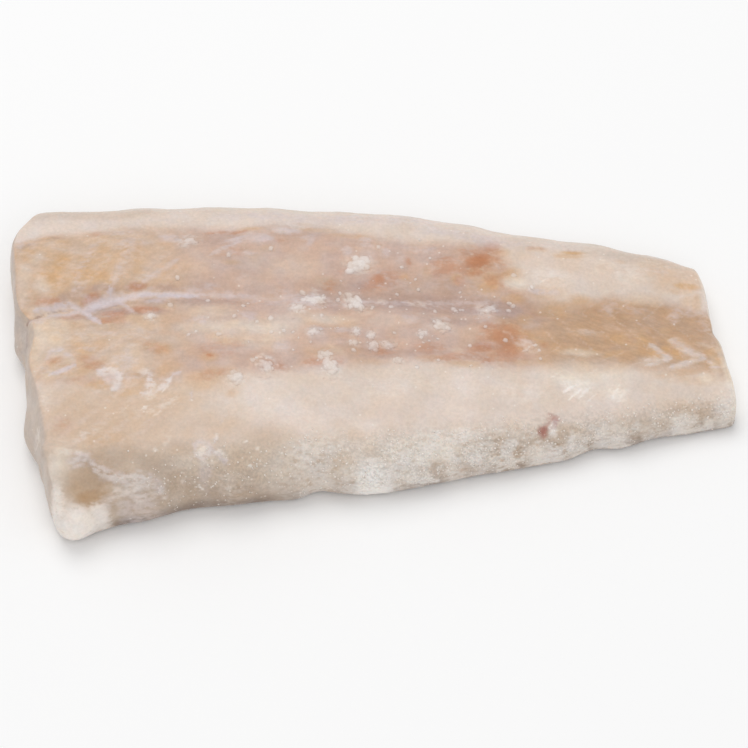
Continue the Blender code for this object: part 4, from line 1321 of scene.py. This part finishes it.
            share = nodes.compute("MULTIPLY", nodes.tone(tone), muscle)
            fibre = nodes.rise(fibre, *CRISP, 1 - depth, 1 + depth)
            colour = nodes.blend(colour, fibre, share, "MULTIPLY")
        fine = nodes.rise(nodes.noise(self.grain_size, 3.0), *SOFT, *self.grain_shades)
        colour = nodes.blend(colour, fine, 1.0, "MULTIPLY")
        icy = nodes.rise(nodes.noise(self.ice_size, 3.0), *CRISP, *self.ice_shades)
        share = nodes.compute("MULTIPLY_ADD", nodes.tone(Tone.FROST), -0.5, nodes.tone(Tone.GRAIN))
        share = nodes.compute("MULTIPLY_ADD", share, *self.ice_share)
        colour = nodes.blend(colour, icy, share, "MULTIPLY")
        return nodes.blend(colour, self.speck_colour, self.specks(nodes))

    def specks(self, nodes: Nodes) -> Socket:
        """Builds fine light specks of frost, thickest where crumbs of ice and frost lie.

        Args:
            nodes: the material that they are built in.

        Returns:
            How strongly they show.
        """
        cells = nodes.add("ShaderNodeTexVoronoi", {"Vector": nodes.places, "Scale": 1 / self.speck_size})
        dot = nodes.rise(cells.outputs["Distance"], *self.speck_edge, 1.0, 0.0)
        lot = nodes.add("ShaderNodeSeparateColor", {0: cells.outputs["Color"]}).outputs[0]
        icy = nodes.compute("MULTIPLY_ADD", nodes.tone(Tone.GRAIN), *self.speck_share)
        icy = nodes.compute("MULTIPLY_ADD", nodes.tone(Tone.CRUMBS), self.crumbs_share, icy)
        chosen = nodes.compute("LESS_THAN", lot, icy)
        return nodes.compute("MULTIPLY", nodes.compute("MULTIPLY", dot, chosen), self.speck_strength)


@dataclass(frozen=True)
class IceFinish:
    """Grainy ice over the flesh's colours, painted shade and light included, which show through it, and most
    where a lump is thin.
    """

    name: str = "ice"
    colour: Colour = (0.87, 0.81, 0.78)
    shade: Colour = (0.75, 0.66, 0.60)
    clear: float = 0.0
    lump_size: float = 0.0045
    grain_size: float = 0.0006
    lump_rise: Pair = (0.35, 0.60)
    grain_rise: Pair = (0.3, 0.6)
    grain_share: float = 0.4
    bump_height: float = 0.00008
    roughness: float = 0.42
    flesh: FleshFinish = FleshFinish()

    def make(self) -> bpy.types.Material:
        """Builds the material.

        Returns:
            The material, for a mesh that holds the tones, and how thin it is if it is clear in part.
        """
        nodes = Nodes(self.name)
        grain = nodes.noise(self.grain_size, 3.0)
        cloud = nodes.rise(nodes.noise(self.lump_size, 1.0), *self.lump_rise)
        white = nodes.rise(grain, *self.grain_rise)
        white = nodes.compute("MULTIPLY_ADD", white, self.grain_share, 0.0)
        white = nodes.compute("MULTIPLY_ADD", cloud, 1 - self.grain_share, white)
        colour = nodes.blend(self.shade, self.colour, white)
        thin = nodes.compute("MULTIPLY_ADD", nodes.share(THINNESS), 1 - self.clear, self.clear)
        colour = nodes.blend(colour, self.flesh.colour(nodes, cloud), thin)
        nodes.bumps(grain, self.bump_height)
        return nodes.finish(colour, self.roughness, IOR=1.31)


@dataclass(frozen=True)
class FloorFinish:
    """Plain pale matt floor."""

    colour: Colour = (0.97, 0.97, 0.97)
    roughness: float = 0.9

    def make(self) -> bpy.types.Material:
        """Builds the floor's material."""
        return Nodes("floor").finish(self.colour, self.roughness, Specular_IOR_Level=0.0)


@dataclass(frozen=True)
class Clump:
    """One lump of ice: its place, its size, its half height, its turn in degrees and its clearness."""

    x: float
    y: float
    length: float
    width: float
    half_height: float
    turn: float
    clear: float = 0.0


@dataclass(frozen=True)
class IceClumps:
    """The lumps of ice frozen to the top: knobbly, white, and where the CAD model has them.

    The model's patch of frost on the belly side is part of the flesh here. Each belt of small lumps is its
    distance from the septum, its spread and its weight.
    """

    large: tuple[Clump, ...] = (
        Clump(-0.0027, 0.0257, 0.0070, 0.0050, 0.0012, 5, 0.15),
        Clump(-0.0037, 0.0144, 0.0074, 0.0042, 0.0014, -40, 0.25),
        Clump(-0.0146, 0.0150, 0.0062, 0.0027, 0.0006, 0, 0.35),
        Clump(-0.0184, 0.0119, 0.0042, 0.0030, 0.0007, 20, 0.45),
        Clump(0.0190, 0.0072, 0.0050, 0.0032, 0.0010, -20, 0.35),
        Clump(0.0138, 0.0045, 0.0028, 0.0020, 0.0006, 10, 0.50),
        Clump(0.0006, 0.0035, 0.0028, 0.0026, 0.0009, 0, 0.50),
        Clump(0.0011, 0.0000, 0.0033, 0.0031, 0.0010, 30, 0.55),
        Clump(0.0052, 0.0005, 0.0046, 0.0028, 0.0009, -15, 0.60),
        Clump(-0.0033, 0.0044, 0.0029, 0.0022, 0.0008, 80, 0.55),
        Clump(-0.0037, 0.0005, 0.0026, 0.0024, 0.0008, 0, 0.60),
        Clump(-0.0112, -0.0034, 0.0046, 0.0031, 0.0010, -25, 0.35),
        Clump(-0.0098, -0.0070, 0.0054, 0.0044, 0.0013, -50, 0.35),
        Clump(-0.0262, -0.0068, 0.0050, 0.0032, 0.0011, -55, 0.55),
        Clump(-0.0341, -0.0106, 0.0048, 0.0039, 0.0011, 15, 0.35),
        Clump(-0.0144, 0.0042, 0.0032, 0.0026, 0.0006, 0, 0.60),
        Clump(0.0075, -0.0038, 0.0028, 0.0022, 0.0007, 0, 0.60),
        Clump(0.0310, 0.0128, 0.0049, 0.0040, 0.0007, 10, 0.65),
        Clump(0.0409, 0.0019, 0.0054, 0.0036, 0.0006, -20, 0.75),
        Clump(-0.0476, 0.0334, 0.0049, 0.0036, 0.0007, 10, 0.80),
        Clump(-0.0569, 0.0088, 0.0031, 0.0028, 0.0007, 0, 0.60),
    )
    small_count: int = 40
    small_sizes: Pair = (0.0012, 0.0022)
    small_widths: Pair = (0.7, 1.0)
    small_stretch: Pair = (-0.0560, 0.0450)
    small_belts: tuple[Triple, ...] = (
        (0.0, 0.0025, 0.35),
        (-0.0125, 0.0045, 0.40),
        (0.0120, 0.0050, 0.25),
    )
    small_height: float = 0.26
    small_seed: int = 27
    sunk: float = 0.25
    cap_power: float = 1.7
    knob_size: float = 0.0013
    knob_depth: float = 0.45
    knob_power: float = 1.5
    knob_gap: float = 0.05
    lobes: float = 0.28
    lobe_size: float = 0.7
    lobe_height: float = 0.2
    crumple: float = 0.10
    crumple_size: float = 0.0007
    thin_from: Pair = (0.8, 0.05)
    ray_from: float = 0.05
    fineness: tuple[int, int, int] = (5, 4, 3)
    long: float = 0.006
    small_clear: float = 0.5
    core: float = 0.84
    part_count: int = 5
    part_sizes: Pair = (0.32, 0.58)
    part_widths: Pair = (0.9, 1.4)
    part_heights: Pair = (0.4, 0.7)
    part_reach: Pair = (0.24, 0.42)
    part_clear: float = 0.3
    part_turn: float = 40.0

    def small(self, septum: Stations) -> Iterator[Clump]:
        """Lays out the small lumps along the septum, with a fixed seed.

        Args:
            septum: y of the septum along the fillet.

        Yields:
            One lump at a time.
        """
        rng = random.Random(self.small_seed)
        weights = [weight for _, _, weight in self.small_belts]
        for _ in range(self.small_count):
            offset, spread, _ = rng.choices(self.small_belts, weights)[0]
            x = rng.uniform(*self.small_stretch)
            y = float(through(septum, np.array(x))) + rng.gauss(offset, spread)
            length = rng.uniform(*self.small_sizes)
            width = length * rng.uniform(*self.small_widths)
            turn = rng.uniform(0, 180)
            yield Clump(x, y, length, width, length * self.small_height, turn, self.small_clear)

    def parts(self, clump: Clump, number: int) -> Iterator[Clump]:
        """Breaks a large lump into a core and smaller lumps grown together with it.

        Args:
            clump: the whole lump.
            number: sets where the smaller lumps are.

        Yields:
            One lump at a time.
        """
        yield replace(clump, length=clump.length * self.core, width=clump.width * self.core)
        rng = random.Random(self.small_seed + number)
        turn = math.radians(clump.turn)
        for part in range(self.part_count):
            angle = math.tau * (part + rng.random()) / self.part_count
            reach = rng.uniform(*self.part_reach)
            along, across = reach * clump.length * math.cos(angle), reach * clump.width * math.sin(angle)
            x = clump.x + along * math.cos(turn) - across * math.sin(turn)
            y = clump.y + along * math.sin(turn) + across * math.cos(turn)
            size = rng.uniform(*self.part_sizes)
            length, width = size * clump.length, size * clump.width * rng.uniform(*self.part_widths)
            height = clump.half_height * rng.uniform(*self.part_heights)
            clear = min(clump.clear + rng.uniform(0.0, self.part_clear), 1.0)
            turned = clump.turn + rng.uniform(-self.part_turn, self.part_turn)
            yield Clump(x, y, length, width, height, turned, clear)

    def lump(
        self, mesh: bmesh.types.BMesh, clump: Clump, ground: BVHTree, number: int, fineness: int
    ) -> None:
        """Adds one knobbly lump, lying on the flesh.

        Args:
            mesh: the mesh that it is added to.
            clump: its place and size.
            ground: the flesh.
            number: sets the lump's own shape.
            fineness: the sphere's subdivisions.
        """
        point, normal, _, _ = ground.ray_cast(Vector((clump.x, clump.y, self.ray_from)), Vector((0, 0, -1)))
        ball = bmesh.ops.create_icosphere(mesh, subdivisions=fineness, radius=1.0)["verts"]
        unit = np.array([vert.co for vert in ball])
        lobes = unit * (1, 1, self.lobe_height) + (0, 0, number)
        outline = 1 + self.lobes * mottle(lobes, self.lobe_size, number, 2)
        height = np.where(unit[:, 2] > 0, np.abs(unit[:, 2]) ** self.cap_power, -self.sunk)
        flat = unit[:, :2] * (clump.length / 2, clump.width / 2) * outline[:, None]
        places = np.column_stack((flat, height * clump.half_height))
        spots = places + (self.knob_gap * number, 0, 0)
        cells = (noise.voronoi(Vector(spot) / self.knob_size, distance_metric="DISTANCE") for spot in spots)
        knobs = [distances[0] for distances, _ in cells]
        swell = 1 + self.crumple - self.knob_depth * np.clip(knobs, 0, 1) ** self.knob_power
        swell = swell + self.crumple * mottle(spots, self.crumple_size, number, 2)
        places[:, 2] *= np.where(height > 0, swell, 1.0)
        turned = Vector((0, 0, 1)).rotation_difference(normal).to_matrix()
        turned = turned @ Matrix.Rotation(math.radians(clump.turn), 3, "Z")
        thinness = mesh.verts.layers.float[THINNESS]
        shares = clump.clear + (1 - clump.clear) * ease(*self.thin_from, height)
        for vert, place, share in zip(ball, places, shares):
            vert.co = turned @ Vector(place) + point - normal * self.sunk * clump.half_height
            vert[thinness] = share

    def build(
        self, flesh: bpy.types.Object, septum: Stations, finish: bpy.types.Material
    ) -> bpy.types.Object:
        """Builds all lumps as one piece.

        Args:
            flesh: what they lie on.
            septum: y of the septum along the fillet.
            finish: their material.

        Returns:
            The piece.
        """
        ground = BVHTree.FromObject(flesh, bpy.context.evaluated_depsgraph_get())
        mesh = bmesh.new()
        mesh.verts.layers.float.new(THINNESS)
        for number, clump in enumerate(self.large):
            fineness = self.fineness[0] if clump.length > self.long else self.fineness[1]
            for part, piece in enumerate(self.parts(clump, number)):
                own = number + part * len(self.large)
                self.lump(mesh, piece, ground, own, self.fineness[2] if part else fineness)
        for number, clump in enumerate(self.small(septum), start=len(self.large)):
            self.lump(mesh, clump, ground, number, self.fineness[2])
        data = bpy.data.meshes.new("ice_clumps")
        mesh.to_mesh(data)
        mesh.free()
        self.take_tones(data, flesh.data)
        data.shade_smooth()
        data.materials.append(finish)
        clumps = bpy.data.objects.new("ice_clumps", data)
        bpy.context.scene.collection.objects.link(clumps)
        return clumps

    @staticmethod
    def take_tones(data: bpy.types.Mesh, flesh: bpy.types.Mesh) -> None:
        """Gives each point of the ice the tones of the flesh nearest to it.

        Args:
            data: the ice.
            flesh: the flesh, which holds the tones.
        """
        near = KDTree(len(flesh.vertices))
        for vert in flesh.vertices:
            near.insert(vert.co, vert.index)
        near.balance()
        source = np.array([near.find(vert.co)[1] for vert in data.vertices])
        strength = np.empty(len(flesh.vertices), dtype=np.float32)
        for tone in Tone:
            flesh.attributes[tone.value].data.foreach_get("value", strength)
            data.attributes.new(tone.value, "FLOAT", "POINT").data.foreach_set("value", strength[source])


@dataclass(frozen=True)
class Scatter:
    """Grains strewn over the flesh by Geometry Nodes, as thickly as one tone shows, then made plain mesh."""

    name: str
    tone: Tone
    density: float
    sizes: Pair
    flatness: float
    seed: int
    fineness: int = 1
    narrowness: Pair = (0.5, 1.0)
    lump_scale: float = 1.1

    def tree(self) -> bpy.types.NodeTree:
        """Builds the node tree.

        Returns:
            The tree, with named inputs for all that differs between kinds of grain.
        """
        tree = bpy.data.node_groups.new(self.name, "GeometryNodeTree")
        sockets = (
            ("Geometry", "INPUT", "NodeSocketGeometry"),
            ("Mask", "INPUT", "NodeSocketString"),
            ("Density", "INPUT", "NodeSocketFloat"),
            ("Least Size", "INPUT", "NodeSocketFloat"),
            ("Most Size", "INPUT", "NodeSocketFloat"),
            ("Flatness", "INPUT", "NodeSocketFloat"),
            ("Seed", "INPUT", "NodeSocketInt"),
            ("Fineness", "INPUT", "NodeSocketInt"),
            ("Material", "INPUT", "NodeSocketMaterial"),
            ("Geometry", "OUTPUT", "NodeSocketGeometry"),
        )
        for name, side, kind in sockets:
            tree.interface.new_socket(name, in_out=side, socket_type=kind)
        given = tree.nodes.new("NodeGroupInput").outputs
        add = partial(add_node, tree)
        mask = add("GeometryNodeInputNamedAttribute", {"Name": given["Mask"]}).outputs["Attribute"]
        thick = add("ShaderNodeMath", {0: mask, 1: given["Density"]}, operation="MULTIPLY").outputs[0]
        links = {"Mesh": given["Geometry"], "Density": thick, "Seed": given["Seed"]}
        points = add("GeometryNodeDistributePointsOnFaces", links)
        links = {2: given["Least Size"], 3: given["Most Size"], "Seed": given["Seed"]}
        size = add("FunctionNodeRandomValue", links).outputs[1]
        flat = add("ShaderNodeMath", {0: size, 1: given["Flatness"]}, operation="MULTIPLY").outputs[0]
        least, most = self.narrowness
        narrow = add("FunctionNodeRandomValue", {2: least, 3: most, "Seed": given["Seed"]}).outputs[1]
        narrow = add("ShaderNodeMath", {0: size, 1: narrow}, operation="MULTIPLY").outputs[0]
        scale = add("ShaderNodeCombineXYZ", {0: size, 1: narrow, 2: flat}).outputs[0]
        ball = add("GeometryNodeMeshIcoSphere", {"Radius": 1.0, "Subdivisions": given["Fineness"]})
        uneven = add("ShaderNodeTexNoise", {"Scale": self.lump_scale, "Detail": 1.0}).outputs["Color"]
        uneven = add("ShaderNodeVectorMath", {0: uneven, 1: (0.5, 0.5, 0.5)}, operation="SUBTRACT").outputs[0]
        links = {"Geometry": ball.outputs["Mesh"], "Offset": uneven}
        grain = add("GeometryNodeSetPosition", links).outputs[0]
        links = {"Points": points.outputs["Points"], "Instance": grain, "Scale": scale}
        laid = add("GeometryNodeInstanceOnPoints", {**links, "Rotation": points.outputs["Rotation"]})
        turn = add("FunctionNodeRandomValue", {2: 0.0, 3: math.tau, "Seed": given["Seed"]}).outputs[1]
        spin = add("ShaderNodeCombineXYZ", {2: turn}).outputs[0]
        spun = add("GeometryNodeRotateInstances", {"Instances": laid.outputs[0], "Rotation": spin})
        real = add("GeometryNodeRealizeInstances", {"Geometry": spun.outputs[0]})
        done = add("GeometryNodeSetMaterial", {"Geometry": real.outputs[0], "Material": given["Material"]})
        add("NodeGroupOutput", {0: done.outputs[0]})
        return tree

    def build(self, flesh: bpy.types.Object, finish: bpy.types.Material) -> bpy.types.Object:
        """Strews the grains.

        Args:
            flesh: what they lie on, with the tone as an attribute.
            finish: their material.

        Returns:
            The grains as one piece of plain mesh.
        """
        holder = bpy.data.objects.new(self.name, flesh.data.copy())
        bpy.context.scene.collection.objects.link(holder)
        modifier = holder.modifiers.new("Strew", "NODES")
        modifier.node_group = self.tree()
        values = {
            "Mask": self.tone.value,
            "Density": self.density,
            "Least Size": self.sizes[0],
            "Most Size": self.sizes[1],
            "Flatness": self.flatness,
            "Seed": self.seed,
            "Fineness": self.fineness,
            "Material": finish,
        }
        for item in modifier.node_group.interface.items_tree:
            if item.in_out == "INPUT" and item.name in values:
                modifier[item.identifier] = values[item.name]
        evaluated = holder.evaluated_get(bpy.context.evaluated_depsgraph_get())
        plain = bpy.data.meshes.new_from_object(evaluated)
        holder.modifiers.clear()
        holder.data = plain
        plain.name = self.name
        plain.shade_smooth()
        return holder


@dataclass(frozen=True)
class Stage:
    """The pale floor, the soft light and the camera."""

    floor_size: float = 6.0
    sky: float = 0.66
    key_power: float = 8.6
    fill_power: float = 3.6
    fill_size: float = 1.6
    fill_place: Triple = (0.2, -1.0, 1.3)
    key_size: float = 1.2
    key_place: Triple = (-0.3, 0.7, 1.5)
    look_at: Triple = (0.0014, -0.00274, 0.0070)
    elevation: float = 58.0
    distance: float = 0.75
    lens: float = 138.2

    def build(self) -> None:
        """Builds all of it."""
        scene = bpy.context.scene
        half = self.floor_size / 2
        mesh = bpy.data.meshes.new("floor")
        corners = [(-half, -half, 0), (half, -half, 0), (half, half, 0), (-half, half, 0)]
        mesh.from_pydata(corners, [], [(0, 1, 2, 3)])
        mesh.materials.append(FloorFinish().make())
        floor = bpy.data.objects.new("floor", mesh)
        scene.collection.objects.link(floor)

        scene.world = bpy.data.worlds.new("sky")
        scene.world.use_nodes = True
        sky = scene.world.node_tree.nodes["Background"]
        sky.inputs["Color"].default_value = (1.0, 1.0, 1.0, 1.0)
        sky.inputs["Strength"].default_value = self.sky

        self.lamp("key", self.key_place, self.key_size, self.key_power)
        self.lamp("fill", self.fill_place, self.fill_size, self.fill_power)

        camera = bpy.data.objects.new("camera", bpy.data.cameras.new("camera"))
        slant = math.radians(self.elevation)
        back = Vector((0.0, -math.cos(slant), math.sin(slant)))
        camera.location = Vector(self.look_at) + back * self.distance
        camera.rotation_euler = back.to_track_quat("Z", "Y").to_euler()
        camera.data.lens = self.lens
        camera.data.clip_start = 0.01
        scene.collection.objects.link(camera)
        scene.camera = camera
        scene.view_settings.view_transform = "Standard"

    @staticmethod
    def lamp(name: str, place: Triple, size: float, power: float) -> None:
        """Adds a round soft lamp, turned to the middle of the floor.

        Args:
            name: the lamp's name.
            place: where it stands.
            size: how wide it is.
            power: its power in watts.
        """
        lamp = bpy.data.objects.new(name, bpy.data.lights.new(name, "AREA"))
        lamp.data.shape = "DISK"
        lamp.data.size = size
        lamp.data.energy = power
        lamp.location = place
        lamp.rotation_euler = Vector(place).to_track_quat("Z", "Y").to_euler()
        bpy.context.scene.collection.objects.link(lamp)


def main() -> None:
    """Builds the fillet piece by piece, then the stage."""
    fillet = FilletFlesh()
    flesh = fillet.build()
    flesh.data.materials.append(FleshFinish().make())
    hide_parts(NODE)
    ice = IceFinish().make()
    grain = IceFinish(
        "frost",
        colour=(0.96, 0.90, 0.84),
        shade=(0.84, 0.76, 0.68),
        clear=0.3,
        lump_size=0.0020,
        grain_size=0.0004,
    ).make()
    bead = IceFinish("beads", clear=0.55, lump_size=0.0030, grain_size=0.0004).make()
    crumbs = Scatter("ice_crumbs", Tone.CRUMBS, 0.07e6, (0.00022, 0.00070), flatness=0.13, seed=5, fineness=2)
    frost = Scatter("frost_grains", Tone.GRAIN, 1.3e6, (0.00010, 0.00034), flatness=0.6, seed=9)
    pieces = {
        flesh: "flesh",
        IceClumps().build(flesh, fillet.form.septum, ice): "ice",
        crumbs.build(flesh, bead): "ice",
        frost.build(flesh, grain): "ice",
    }
    for piece, slot in pieces.items():
        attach(piece, BODY)
        LOG.info("%s: %d faces", piece.name, len(piece.data.polygons))
    Stage().build()


if __name__ == "__main__":
    logging.basicConfig(level=logging.INFO, format="%(message)s")
    main()
